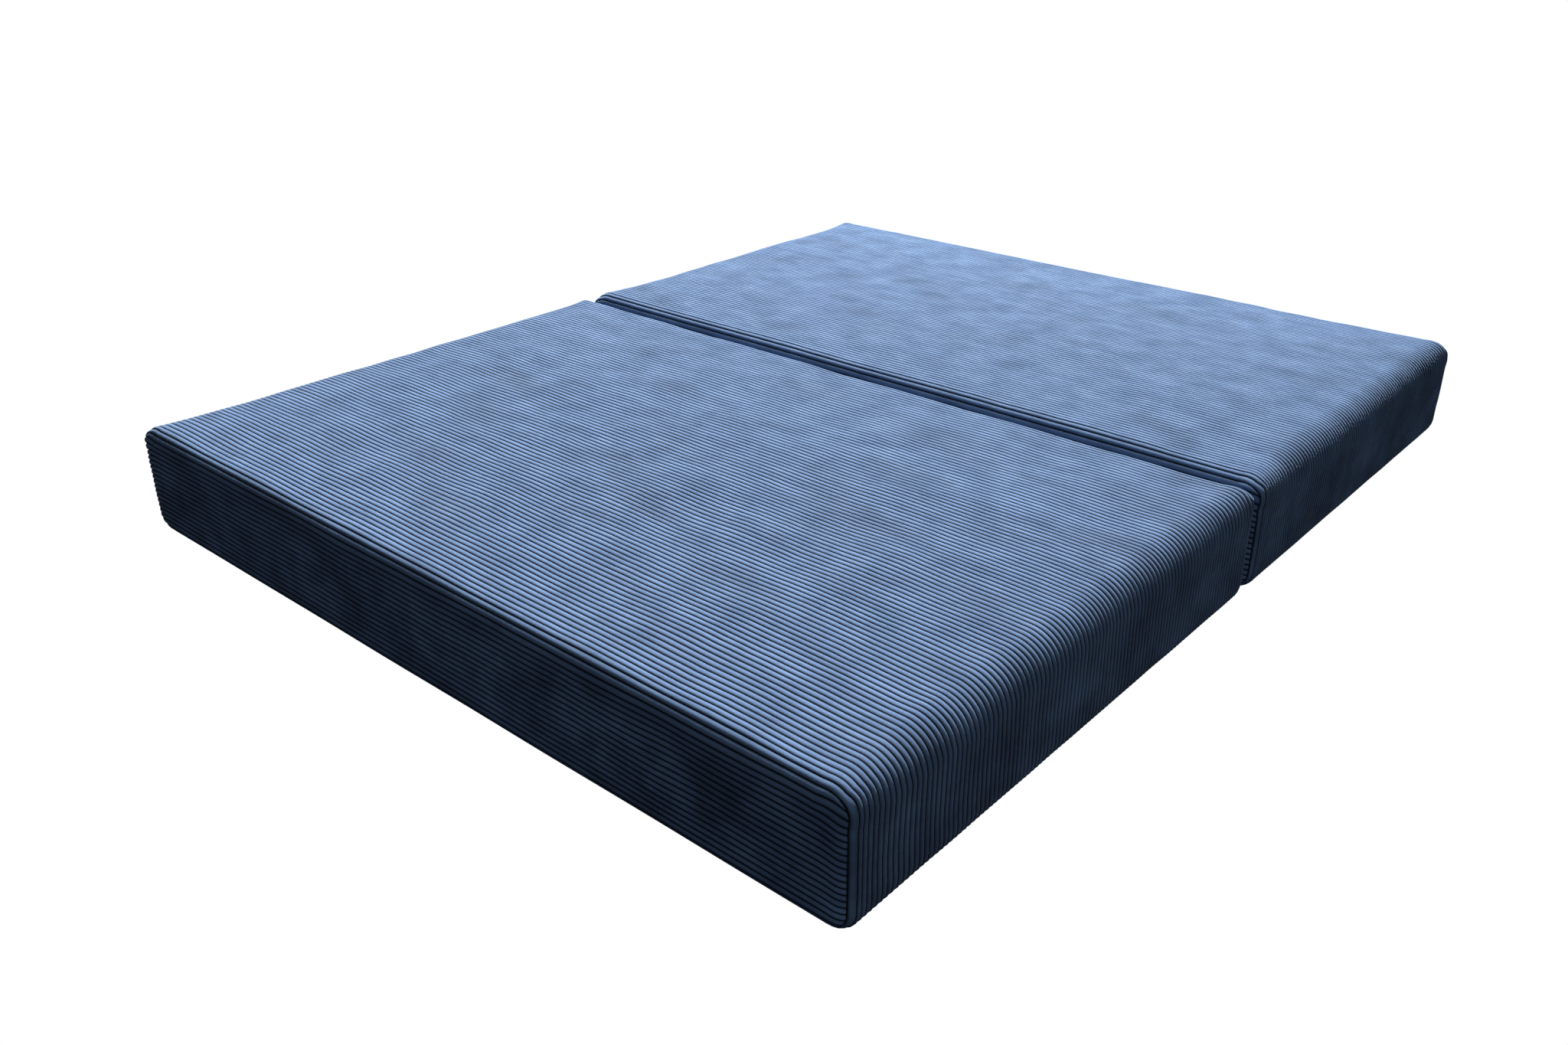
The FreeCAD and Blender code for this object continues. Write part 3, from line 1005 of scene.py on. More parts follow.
    def dog_ears(self, points: Array) -> Array:
        """How the cloth stands out in a small point where each corner seam begins.

        Args:
            points: rows of x, y, z on the ground.

        Returns:
            Rows of movements.
        """
        moved = np.zeros_like(points)
        for layout in self.layouts:
            for end in (-1, 1):
                line = layout.seam_line(end)
                out = Vector((end * 0.8, layout.face.value * 0.6, 0.35)).normalized()
                peak = np.linalg.norm(points - line[6], axis=1)
                under = np.linalg.norm(points - line[24], axis=1)
                push = self.ear * bell(peak, self.ear_reach)
                push = push - self.ear_hollow * bell(under, self.ear_reach)
                moved += push[:, None] * np.array(out)
        return moved

    @staticmethod
    def put(mesh: bpy.types.Mesh, points: Array) -> None:
        """Moves every vertex of a mesh."""
        mesh.vertices.foreach_set("co", points.astype(np.float32).ravel())
        mesh.update()


# ---------------------------------------------------------------- other cloth


def flat_sheet(
    name: str, low: Vector, high: Vector, cells: tuple[int, int], thickness: float
) -> bpy.types.Object:
    """A sheet of cloth lying flat in a box, a little uneven, with its edges turned up.

    Args:
        name: the piece's name.
        low: lowest corner of its box.
        high: highest corner of its box.
        cells: cells across and along.
        thickness: how thick the cloth is.

    Returns:
        The piece.
    """
    bm = bmesh.new()
    grid = ClothGrid(bm, *cells)
    wave = SlowWave(len(name), 0.08, 0.3)

    def place(column: Array, row: Array) -> Array:
        """Spreads the grid over the box.

        Args:
            column: column indices.
            row: row indices.

        Returns:
            Rows of x, y, z.
        """
        x = low.x + (high.x - low.x) * column / cells[0]
        y = low.y + (high.y - low.y) * row / cells[1]
        rim = (column == 0) | (column == cells[0]) | (row == 0) | (row == cells[1])
        room = high.z - low.z - thickness
        z = low.z + np.clip(room * (0.35 + 0.25 * wave.at(x, y)), 0, room)
        return np.stack([x, y, np.where(rim, low.z + room * 0.8, z)], 1)

    grid.lay(place)
    bmesh.ops.recalc_face_normals(bm, faces=bm.faces)
    if sum(face.normal.z for face in bm.faces) < 0:
        bmesh.ops.reverse_faces(bm, faces=bm.faces)
    bmesh.ops.solidify(bm, geom=bm.faces[:], thickness=-thickness)
    bmesh.ops.recalc_face_normals(bm, faces=bm.faces)
    return new_piece(name, bm)


@dataclass(frozen=True)
class Stitching:
    """Lockstitches of one size.

    Args:
        length: of the part of a stitch that shows.
        pitch: from one stitch to the next.
        thickness: of the thread.
    """

    length: float = 0.0034
    pitch: float = 0.0045
    thickness: float = 0.0009

    def places(self, line: Array, outward: Vector) -> list[Matrix]:
        """Where the stitches go along a line.

        Args:
            line: rows of x, y, z.
            outward: the way the stitches face.

        Returns:
            A matrix for each stitch, whose X runs along the line and Z outwards.
        """
        steps = np.linalg.norm(np.diff(line, axis=0), axis=1)
        run = np.concatenate([[0], np.cumsum(steps)])
        middles = np.arange(self.pitch / 2, run[-1], self.pitch)
        found = []
        for middle in middles:
            ends = [
                Vector([np.interp(middle + side * self.length / 2, run, line[:, k]) for k in range(3)])
                for side in (-1, 1)
            ]
            forward = (ends[1] - ends[0]).normalized()
            sideways = outward.cross(forward).normalized()
            upward = forward.cross(sideways)
            turn = Matrix((forward, sideways, upward)).transposed().to_4x4()
            found.append(Matrix.Translation((ends[0] + ends[1]) / 2) @ turn)
        return found

    def sew(self, name: str, lines: list[tuple[Array, Vector]]) -> bpy.types.Object:
        """Makes one piece of all the stitches along some lines.

        Args:
            name: the piece's name.
            lines: each line's points and the way its stitches face.

        Returns:
            The piece.
        """
        bm = bmesh.new()
        size = Vector((self.length, self.thickness, self.thickness * 0.7))
        stitch = soft_block(size, self.thickness * 0.3, 1)
        places = [place for line, outward in lines for place in self.places(line, outward)]
        strew(bm, shape_mesh(stitch), places)
        piece = new_piece(name, bm)
        return piece


@dataclass
class Zip:
    """The zip of one block: woven tapes and a coil that interlocks.

    Args:
        prefix: the block's name.
        tooth_pitch: distance from tooth to tooth of one row.
        gap: half the gap between the tapes.
        reach: how far the teeth of the two rows overlap.
    """

    prefix: str
    tooth_pitch: float = 0.002
    gap: float = 0.0005
    reach: float = 0.0012

    def tapes(self) -> bpy.types.Object:
        """Two woven tapes, each with a thicker bead along its inner edge.

        Returns:
            The piece.
        """
        low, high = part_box(f"{self.prefix}_zip_tapes")
        middle, thickness = (low.z + high.z) / 2, high.x - low.x
        width = (high.z - low.z) / 2 - self.gap
        bm = bmesh.new()
        for side in (-1, 1):
            size = Vector((thickness * 0.7, high.y - low.y, width))
            tape = soft_block(size, thickness * 0.2, 1)
            bmesh.ops.subdivide_edges(
                tape, edges=[e for e in tape.edges if e.calc_length() > 0.1], cuts=60
            )
            level = middle + side * (self.gap + width / 2)
            centre = Vector(((low.x + high.x) / 2, (low.y + high.y) / 2, level))
            bmesh.ops.translate(tape, vec=centre, verts=tape.verts)
            bm.from_mesh(shape_mesh(tape))
            bead = soft_block(Vector((thickness, high.y - low.y, 0.0018)), 0.0003, 2)
            at = Vector((centre.x, centre.y, middle + side * 0.0016))
            bmesh.ops.translate(bead, vec=at, verts=bead.verts)
            bm.from_mesh(shape_mesh(bead))
        return new_piece(f"{self.prefix}_zip_tape_cloth", bm)

    def coil(self) -> bpy.types.Object:
        """Two rows of coil teeth that reach between each other.

        Returns:
            The piece.
        """
        low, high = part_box(f"{self.prefix}_zip_coil")
        middle, depth = (low.z + high.z) / 2, high.x - low.x
        count = int((high.y - low.y) / self.tooth_pitch)
        half = (high.z - low.z) / 2
        tooth = soft_block(Vector((depth * 0.85, self.tooth_pitch * 0.42, half)), 0.0003, 1)
        places = []
        for side in (-1, 1):
            for number in range(count - 1):
                y = low.y + (number + 0.5 + (side + 1) / 4) * self.tooth_pitch
                z = middle + side * (half / 2 - self.reach / 2)
                places.append(Matrix.Translation(((low.x + high.x) / 2, y, z)))
        bm = bmesh.new()
        strew(bm, shape_mesh(tooth), places)
        return new_piece(f"{self.prefix}_zip_coil_teeth", bm)


# ------------------------------------------------------------------- finishes

Socket = bpy.types.NodeSocket
Tree = bpy.types.NodeTree
Node = bpy.types.Node


def put(tree: Tree, kind: str, settings: Optional[dict] = None, **sockets: object) -> Node:
    """Adds a node, sets it and feeds its sockets.

    Args:
        tree: the tree it goes in.
        kind: the node's type, without "ShaderNode".
        settings: the node's own properties.
        sockets: numbers or other sockets for its inputs, with underscores for spaces. A name
            of the form i0, i1 means the input of that number.

    Returns:
        The node.
    """
    node = tree.nodes.new(f"ShaderNode{kind}")
    for name, value in (settings or {}).items():
        setattr(node, name, value)
    for name, value in sockets.items():
        numbered = name[0] == "i" and name[1:].isdigit()
        target = node.inputs[int(name[1:])] if numbered else node.inputs[name.replace("_", " ")]
        if isinstance(value, Socket):
            tree.links.new(value, target)
        else:
            target.default_value = value
    return node


def calculate(tree: Tree, operation: str, *values: object) -> Socket:
    """The result of a Math node on some numbers or sockets."""
    sockets = {f"i{place}": value for place, value in enumerate(values)}
    return put(tree, "Math", {"operation": operation}, **sockets).outputs[0]


def blend_colour(tree: Tree, share: object, first: object, second: object, way: str = "MIX") -> Socket:
    """The result of mixing two colours, given as sockets or as triples.

    Args:
        tree: the tree it goes in.
        share: how much of the second colour.
        first: the first colour.
        second: the second colour.
        way: how they are mixed.

    Returns:
        The mixed colour.
    """
    colours = [c if isinstance(c, bpy.types.NodeSocket) else (*c, 1) for c in (first, second)]
    settings = {"data_type": "RGBA", "blend_type": way}
    return put(tree, "Mix", settings, i0=share, i6=colours[0], i7=colours[1]).outputs[2]


def mix(tree: Tree, share: object, first: object, second: object) -> Socket:
    """The result of mixing two numbers."""
    return put(tree, "Mix", None, i0=share, i2=first, i3=second).outputs[0]


def spread(
    tree: Tree, value: Socket, low: float, high: float, to_low: float = 0.0, to_high: float = 1.0
) -> Socket:
    """Stretches a range of numbers over another, and holds it there."""
    return put(tree, "MapRange", None, i0=value, i1=low, i2=high, i3=to_low, i4=to_high).outputs[0]


@dataclass
class Effect:
    """A node group that several finishes share.

    Args:
        name: its name.
        takes: its inputs and their kinds.
        gives: its outputs and their kinds.
    """

    name: str
    takes: dict[str, str]
    gives: dict[str, str]

    def __post_init__(self) -> None:
        """Makes the empty group with its sockets."""
        self.tree = bpy.data.node_groups.new(self.name, "ShaderNodeTree")
        for names, way in ((self.takes, "INPUT"), (self.gives, "OUTPUT")):
            for name, kind in names.items():
                self.tree.interface.new_socket(name, in_out=way, socket_type=f"NodeSocket{kind}")
        self.source = self.tree.nodes.new("NodeGroupInput")
        self.result = self.tree.nodes.new("NodeGroupOutput")

    def give(self, **sockets: Socket) -> None:
        """Connects the group's outputs."""
        for name, value in sockets.items():
            self.tree.links.new(value, self.result.inputs[name])

    def use(self, tree: Tree, **sockets: object) -> Node:
        """Places the group in a material with its own values."""
        return put(tree, "Group", {"node_tree": self.tree}, **sockets)


class Effects:
    """The effects that the finishes share, each built once."""

    def __init__(self) -> None:
        """Builds them."""
        self.nap = self.build_nap()
        self.grain = self.build_grain()
        self.weave = self.build_weave()

    @staticmethod
    def build_nap() -> Effect:
        """Patches and streaks where a pile lies one way or the other, a broad patch of nap and painted sheen
        for the sides, a value for each cord, and the mask of painted groove shade.

        Returns:
            The effect.
        """
        effect = Effect(
            "nap_of_the_pile",
            {"Cloth": "Vector", "Pitch": "Float"},
            {"Patch": "Float", "Streak": "Float", "Brush": "Float", "Cord": "Float", "Rise": "Float"},
        )
        tree = effect.tree
        parts = put(tree, "SeparateXYZ", None, Vector=effect.source.outputs["Cloth"])
        along, across, rise = parts.outputs
        noises = []
        for run, step, detail in ((12.0, 17.0, 6.0), (30.0, 90.0, 3.0), (8.0, 5.0, 4.0)):
            run, step = calculate(tree, "MULTIPLY", along, run), calculate(tree, "MULTIPLY", across, step)
            place = put(tree, "CombineXYZ", None, X=run, Y=step).outputs[0]
            noise = put(tree, "TexNoise", None, Vector=place, Scale=1.0, Detail=detail, Roughness=0.62)
            noises.append(spread(tree, noise.outputs["Fac"], 0.32, 0.68))
        number = calculate(tree, "FLOOR", calculate(tree, "DIVIDE", across, effect.source.outputs["Pitch"]))
        cord = put(tree, "TexWhiteNoise", {"noise_dimensions": "1D"}, W=number)
        # The third noise is nap patches that also stand for painted sheen on the sides. The cloth's third
        # value is passed on as the mask of painted groove shade.
        patch, streak, nap_sheen_patch = noises
        effect.give(Patch=patch, Streak=streak, Brush=nap_sheen_patch, Cord=cord.outputs["Value"], Rise=rise)
        return effect

    @staticmethod
    def build_grain() -> Effect:
        """A fine even unevenness, for pile, fibre, foam and cast metal.

        Returns:
            The effect.
        """
        takes = {"Vector": "Vector", "Scale": "Float"}
        effect = Effect("fine_grain", takes, {"Grain": "Float", "Cloud": "Float"})
        tree = effect.tree
        here, scale = effect.source.outputs["Vector"], effect.source.outputs["Scale"]
        fine = put(tree, "TexNoise", None, Vector=here, Scale=scale, Detail=3.0, Roughness=0.7)
        broad = calculate(tree, "MULTIPLY", scale, 0.06)
        cloud = put(tree, "TexNoise", None, Vector=here, Scale=broad, Detail=2.0)
        effect.give(Grain=fine.outputs["Fac"], Cloud=spread(tree, cloud.outputs["Fac"], 0.3, 0.7))
        return effect

    @staticmethod
    def build_weave() -> Effect:
        """Threads that cross over and under, plain or as a twill, with painted shade in the lines between
        them.

        Returns:
            The effect.
        """
        effect = Effect(
            "crossing_threads",
            {"Vector": "Vector", "Pitch": "Float", "Twill": "Float"},
            {"Height": "Float", "Gap": "Float"},
        )
        tree, source = effect.tree, effect.source
        parts = put(tree, "SeparateXYZ", None, Vector=source.outputs["Vector"])
        turns = calculate(tree, "DIVIDE", math.pi, source.outputs["Pitch"])
        upright = calculate(tree, "ADD", parts.outputs[1], parts.outputs[2])
        over = calculate(tree, "MULTIPLY", parts.outputs[0], turns)
        along = calculate(tree, "MULTIPLY", upright, turns)
        slant = calculate(tree, "ADD", over, along)
        warp = calculate(tree, "ABSOLUTE", calculate(tree, "SINE", over))
        weft = calculate(tree, "ABSOLUTE", calculate(tree, "SINE", along))
        check = calculate(tree, "MULTIPLY", calculate(tree, "COSINE", over), calculate(tree, "COSINE", along))
        ridge = calculate(tree, "SINE", slant)
        side = spread(tree, mix(tree, source.outputs["Twill"], check, ridge), -0.3, 0.3)
        height = mix(tree, side, warp, weft)
        gap = calculate(tree, "MULTIPLY", warp, weft)
        effect.give(Height=height, Gap=spread(tree, gap, 0.0, 0.35))
        return effect


@dataclass(frozen=True)
class Finish:
    """A finish of one piece or several.

    Args:
        name: its name.
        colour: its main colour.
        shade: its darker colour.
        roughness: how matt it is.
    """

    name: str
    colour: Colour
    shade: Colour
    roughness: float = 0.8

    def surface(self) -> tuple[bpy.types.Material, Tree, Node]:
        """A new material with an empty Principled BSDF.

        Returns:
            The material, its tree and its shader.
        """
        material = bpy.data.materials.new(self.name)
        material.use_nodes = True
        tree = material.node_tree
        tree.nodes.clear()
        output = tree.nodes.new("ShaderNodeOutputMaterial")
        shader = put(tree, "BsdfPrincipled", None, Roughness=self.roughness)
        tree.links.new(shader.outputs[0], output.inputs[0])
        return material, tree, shader

    @staticmethod
    def emboss(tree: Tree, shader: Node, height: Socket, strength: float, distance: float) -> None:
        """Feeds a height to the shader's normal."""
        bump = put(tree, "Bump", None, Height=height, Strength=strength, Distance=distance)
        tree.links.new(bump.outputs[0], shader.inputs["Normal"])


@dataclass(frozen=True)
class Corduroy(Finish):
    """Cut pile in broad cords, which looks lighter or darker by the way its nap lies, with painted shade in
    its grooves and painted sheen in patches on its sides.
    """

    warm: Colour = (0.115, 0.125, 0.19)
    pitch: float = 0.010

    def material(self, effects: Effects) -> bpy.types.Material:
        """Builds the material.

        Args:
            effects: the effects that finishes share.

        Returns:
            The material.
        """
        material, tree, shader = self.surface()
        cloth = put(tree, "Attribute", {"attribute_name": "cloth"})
        nap = effects.nap.use(tree, Cloth=cloth.outputs["Vector"], Pitch=self.pitch)
        here = put(tree, "TexCoord").outputs["Object"]
        pile = effects.grain.use(tree, Vector=here, Scale=900.0)
        height = put(tree, "SeparateXYZ", None, Vector=here).outputs[2]
        # Nap patches and painted sheen: the mottle is evened out and made a little lighter towards the top,
        # and left full on the sides.
        top_sheen_blend = spread(tree, height, 0.11, 0.195, 0.0, 0.35)
        patch = mix(tree, top_sheen_blend, nap.outputs["Patch"], 0.62)
        colour = blend_colour(tree, patch, self.shade, self.colour)
        tint = calculate(tree, "MULTIPLY", nap.outputs["Streak"], 0.22)
        colour = blend_colour(tree, tint, colour, self.warm)
        cord = spread(tree, nap.outputs["Cord"], 0.0, 1.0, 0.93, 1.05)
        streak = spread(tree, nap.outputs["Streak"], 0.0, 1.0, 0.93, 1.06)
        # Painted shade: the cloth is darkened in its grooves, along the corner seams, at the slit's edge and
        # over the hinge strip.
        painted_groove_shade = spread(tree, nap.outputs["Rise"], 0.35, 0.97, 0.0, 1.0)
        fleck = spread(tree, pile.outputs["Grain"], 0.3, 0.7, 0.8, 1.2)
        amount = calculate(tree, "MULTIPLY", calculate(tree, "MULTIPLY", cord, streak), painted_groove_shade)
        amount = calculate(tree, "MULTIPLY", amount, fleck)
        # Nap patches and painted sheen: only the sides get broad lighter and darker patches, which stand in
        # for grazing sheen.
        side_nap_and_sheen = spread(tree, nap.outputs["Brush"], 0.0, 1.0, 0.62, 1.42)
        on_top = spread(tree, height, 0.13, 0.195)
        lying = mix(tree, on_top, side_nap_and_sheen, 1.0)
        amount = calculate(tree, "MULTIPLY", amount, lying)
        level = put(tree, "CombineColor", None, Red=amount, Green=amount, Blue=amount).outputs[0]
        colour = blend_colour(tree, 1.0, colour, level, "MULTIPLY")
        tree.links.new(colour, shader.inputs["Base Color"])
        rough = spread(tree, nap.outputs["Patch"], 0.0, 1.0, 0.95, 0.8)
        tree.links.new(rough, shader.inputs["Roughness"])
        shader.inputs["Specular IOR Level"].default_value = 0.15
        shader.inputs["Sheen Weight"].default_value = 0.35
        shader.inputs["Sheen Roughness"].default_value = 0.4
        shader.inputs["Sheen Tint"].default_value = (0.55, 0.72, 1.0, 1.0)
        self.emboss(tree, shader, pile.outputs["Grain"], 0.5, 0.0005)
        return material


@dataclass(frozen=True)
class WovenCloth(Finish):
    """Plain or twilled cloth."""

    pitch: float = 0.0012
    weave: Weave = Weave.PLAIN

    def material(self, effects: Effects) -> bpy.types.Material:
        """Builds the material.

        Args:
            effects: the effects that finishes share.

        Returns:
            The material.
        """
        material, tree, shader = self.surface()
        here = put(tree, "TexCoord").outputs["Object"]
        threads = effects.weave.use(tree, Vector=here, Pitch=self.pitch, Twill=self.weave.value)
        cloud = effects.grain.use(tree, Vector=here, Scale=400.0)
        # Weave pattern and painted shade: the lines between the threads get the darker colour.
        colour = blend_colour(tree, threads.outputs["Gap"], self.shade, self.colour)
        worn = spread(tree, cloud.outputs["Cloud"], 0.0, 1.0, 0.0, 0.25)
        tree.links.new(blend_colour(tree, worn, colour, self.shade), shader.inputs["Base Color"])
        rough = spread(tree, cloud.outputs["Grain"], 0.3, 0.7, self.roughness - 0.06, self.roughness + 0.06)
        tree.links.new(rough, shader.inputs["Roughness"])
        shader.inputs["Specular IOR Level"].default_value = 0.25
        self.emboss(tree, shader, threads.outputs["Height"], 0.6, self.pitch * 0.3)
        return material


@dataclass(frozen=True)
class Grained(Finish):
    """A finish with a fine grain: foam, fibre, thread, moulded nylon or plated metal."""

    scale: float = 500.0
    relief: float = 0.0003
    metal: float = 0.0

    def material(self, effects: Effects) -> bpy.types.Material:
        """Builds the material.

        Args:
            effects: the effects that finishes share.

        Returns:
            The material.
        """
        material, tree, shader = self.surface()
        here = put(tree, "TexCoord").outputs["Object"]
        grain = effects.grain.use(tree, Vector=here, Scale=self.scale)
        colour = blend_colour(tree, grain.outputs["Cloud"], self.shade, self.colour)
        speck = spread(tree, grain.outputs["Grain"], 0.35, 0.65, 0.0, 0.3)
        tree.links.new(blend_colour(tree, speck, colour, self.shade), shader.inputs["Base Color"])
        low, high = max(self.roughness - 0.08, 0.05), min(self.roughness + 0.08, 1.0)
        tree.links.new(spread(tree, grain.outputs["Cloud"], 0.0, 1.0, low, high), shader.inputs["Roughness"])
        shader.inputs["Metallic"].default_value = self.metal
        self.emboss(tree, shader, grain.outputs["Grain"], 0.4, self.relief)
        return material


def finishes(effects: Effects) -> dict[str, bpy.types.Material]:
    """Every finish, by the record's slot.

    Args:
        effects: the shared effects.

    Returns:
        A material for each slot.
    """
    twill = Weave.TWILL
    kinds = {
        "corduroy": Corduroy("blue_corduroy", (0.16, 0.27, 0.475), (0.08, 0.142, 0.262), 0.9),
        "base_cloth": WovenCloth(
            "base_canvas", (0.055, 0.075, 0.12), (0.025, 0.035, 0.06), 0.85, 0.0014
        ),
        "hinge_cloth": WovenCloth(
            "hinge_twill", (0.05, 0.07, 0.11), (0.02, 0.03, 0.05), 0.85, 0.0016, twill
        ),
        "lining": WovenCloth("knitted_lining", (0.72, 0.71, 0.68), (0.5, 0.49, 0.46), 0.9, 0.0018),
        "wadding": Grained(
            "polyester_fibre", (0.82, 0.82, 0.8), (0.66, 0.66, 0.64), 0.95, 300.0, 0.001
        ),
        "core_foam": Grained("firm_foam", (0.74, 0.7, 0.55), (0.6, 0.56, 0.42), 0.9, 900.0, 0.0006),
        "comfort_foam": Grained(
            "soft_foam", (0.78, 0.78, 0.8), (0.64, 0.65, 0.68), 0.9, 1100.0, 0.0005
        ),
        "thread": Grained(
            "navy_thread", (0.03, 0.045, 0.08), (0.015, 0.022, 0.04), 0.6, 2500.0, 0.0001
        ),
        "zip_tape": WovenCloth(
            "zip_tape_weave", (0.04, 0.055, 0.09), (0.018, 0.025, 0.042), 0.8, 0.0008, twill
        ),
        "zip_coil": Grained(
            "coil_nylon", (0.05, 0.065, 0.1), (0.03, 0.04, 0.065), 0.35, 1500.0, 0.00003
        ),
        "zip_metal": Grained(
            "plated_zinc", (0.8, 0.79, 0.76), (0.6, 0.59, 0.57), 0.34, 1200.0, 0.00002, 0.75
        ),
    }
    return {slot: kind.material(effects) for slot, kind in kinds.items()}


# ------------------------------------------------------------ the sub-assemblies


@dataclass
class Wardrobe:
    """Dresses pieces: finish, slot, the nodes they stand for and the body they ride on.

    Args:
        materials: the material of each slot.
    """

    materials: dict[str, bpy.types.Material]

    def wear(self, piece: bpy.types.Object, slot: str) -> None:
        """Gives a piece the material of a slot."""
        piece.data.materials.clear()
        piece.data.materials.append(self.materials[slot])

    def dress(self, piece: bpy.types.Object, slot: str, body: str, *nodes: str) -> bpy.types.Object:
        """Finishes a new piece.

        Args:
            piece: the piece.
            slot: its material slot.
            body: the body it rides on, or nothing for a piece left without one.
            nodes: the CAD nodes it stands for.

        Returns:
            The piece.
        """
        self.wear(piece, slot)
        if nodes:
            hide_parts(*nodes)
        if body:
            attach(piece, body)
        LOG.info("%s: %d faces, rides on %s", piece.name, len(piece.data.polygons), body or "two bodies")
        return piece


@dataclass
class Block:
    """One block of the mattress with everything on it.

    Args:
        name: "seat" or "back".
        wardrobe: what dresses its pieces.
        seed: the seed of its unevenness.
        softness: the sizes of its form that differ from the usual ones.
        stitching: the stitches of its seams.
        inner_bevel: how far the edges of the inner pads are rounded.
        panel_room: how much height the base panel takes.
        panel_cloth: how thick the base panel's cloth is.
        seam_inset: how far in from its box the base seam runs.
        stitched: the first and last point of a corner seam that is stitched.
        stitch_depth: how deep the corner stitches lie.
        thread_rise: how far above the lowest point the base seam's thread lies.
    """

    name: str
    wardrobe: Wardrobe
    seed: int
    softness: dict[str, float] = field(default_factory=dict)
    stitching: Stitching = Stitching()
    inner_bevel: float = 0.054
    panel_room: float = 0.0018
    panel_cloth: float = 0.0007
    seam_inset: float = 0.0045
    stitched: tuple[int, int] = (34, 110)
    stitch_depth: float = 0.0012
    thread_rise: float = 0.0005

    def build(self) -> None:
        """Builds and dresses every piece of the block."""
        self.body = f"{self.name}_block"
        low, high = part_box(f"{self.name}_corduroy_cover")
        base_low, base_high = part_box(f"{self.name}_base_panel")
        tape_low, tape_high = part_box(f"{self.name}_zip_tapes")
        self.form = BlockForm(
            low,
            high,
            hem_edge=base_high.x + 0.0005,
            hem_margin=base_low.y - low.y,
            zip_middle=(tape_low.z + tape_high.z) / 2,
            **self.softness,
        )
        self.cover(tape_low, tape_high)
        self.base(base_low, base_high)
        self.seams()
        self.inner_layers(low, high)
        self.zip_pieces()

    def cover(self, tape_low: Vector, tape_high: Vector) -> None:
        """The corduroy cover.

        Args:
            tape_low: lowest corner of the zip tapes' box.
            tape_high: its highest corner.
        """
        slit = (tape_low.y, tape_high.y)
        maker = CorduroyCover(self.name, self.form, slit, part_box("hinge_strip"), self.seed)
        cover = maker.build()
        self.layouts = maker.layouts
        self.wardrobe.dress(cover, "corduroy", self.body, f"{self.name}_corduroy_cover")

    def base(self, low: Vector, high: Vector) -> None:
        """The base panel and the seam round it.

        Args:
            low: lowest corner of the base panel's box.
            high: its highest corner.
        """
        top = Vector((high.x, high.y, low.z + self.panel_room))
        panel = flat_sheet(f"{self.name}_base_cloth", low, top, (90, 56), self.panel_cloth)
        self.wardrobe.dress(panel, "base_cloth", self.body, f"{self.name}_base_panel")
        ring_low, ring_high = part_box(f"{self.name}_base_seam_thread")
        x0, y0 = ring_low.x + self.seam_inset, ring_low.y + self.seam_inset
        x1, y1 = ring_high.x - self.seam_inset, ring_high.y - self.seam_inset
        z = low.z + self.thread_rise
        ring = np.array([(x0, y0, z), (x1, y0, z), (x1, y1, z), (x0, y1, z), (x0, y0, z)])
        thread = self.stitching.sew(f"{self.name}_base_seam_stitches", [(ring, Vector((0, 0, -1)))])
        self.wardrobe.dress(thread, "thread", self.body, f"{self.name}_base_seam_thread")

    def seams(self) -> None:
        """The stitches down the corner seams."""
        lines = []
        for layout in self.layouts:
            for end in (-1, 1):
                outward = Vector((end, layout.face.value, 0)).normalized()
                line = layout.seam_line(end)[slice(*self.stitched)]
                line = line - np.array(outward) * self.stitch_depth
                lines.append((line, outward))
        thread = self.stitching.sew(f"{self.name}_corner_stitches", lines)
        self.wardrobe.dress(thread, "thread", self.body, f"{self.name}_corner_seam_threads")

    def inner_layers(self, low: Vector, high: Vector) -> None:
        """The lining and the wadding inside the cover, as smooth closed pads.

        Args:
            low: lowest corner of the cover's box.
            high: its highest corner.
        """
        layers = (("lining", "inner_lining", 0.0075), ("wadding", "fibre_wadding", 0.0095))
        for slot, part, gap in layers:
            size = high - low - Vector((gap, gap, gap * 0.75)) * 2
            bm = soft_block(size, self.inner_bevel, 6)
            bmesh.ops.translate(bm, vec=(low + high) / 2, verts=bm.verts)
            pad = new_piece(f"{self.name}_{part}_pad", bm)
            self.wardrobe.dress(pad, slot, self.body, f"{self.name}_{part}")

    def zip_pieces(self) -> None:
        """The zip's tapes and coil; its metal pieces are the CAD's own."""
        zipper = Zip(self.name)
        self.wardrobe.dress(zipper.tapes(), "zip_tape", self.body, f"{self.name}_zip_tapes")
        self.wardrobe.dress(zipper.coil(), "zip_coil", self.body, f"{self.name}_zip_coil")


@dataclass
class Hinge:
    """The cloth strip that joins the blocks under the slot, and the rows of stitches that hold it.

    Args:
        wardrobe: what dresses its pieces.
        bend_half: not used.
        stitching: the stitches of its rows.
        cloth: how thick the strip is.
        lift: how far the strip is raised off the floor.
        row_inset: how far in from its box a row of stitches runs.
        thread_rise: how far above the box's lowest point its thread lies.
    """

    wardrobe: Wardrobe
    bend_half: float = 0.034
    stitching: Stitching = Stitching(0.0036, 0.0048, 0.0006)
    cloth: float = 0.0008
    lift: float = 0.0001
    row_inset: float = 0.0008
    thread_rise: float = 0.0003

    def build(self) -> None:
        """Builds and dresses the strip and its stitching."""
        low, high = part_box("hinge_strip")
        low = low + Vector((0, 0, self.lift))
        strip = flat_sheet("hinge_strip_cloth", low, high, (90, 40), self.cloth)
        self.wardrobe.dress(strip, "hinge_cloth", "", "hinge_strip")
        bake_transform(strip)
        for name in ("seat", "back"):
            row_low, row_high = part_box(f"{name}_strip_stitching")
            lines = []
            for y in (row_low.y + self.row_inset, row_high.y - self.row_inset):
                z = row_low.z + self.thread_rise
                line = np.array([(row_low.x, y, z), (row_high.x, y, z)])
                lines.append((line, Vector((0, 0, -1))))
            thread = self.stitching.sew(f"{name}_strip_stitches", lines)
            self.wardrobe.dress(thread, "thread", f"{name}_block", f"{name}_strip_stitching")


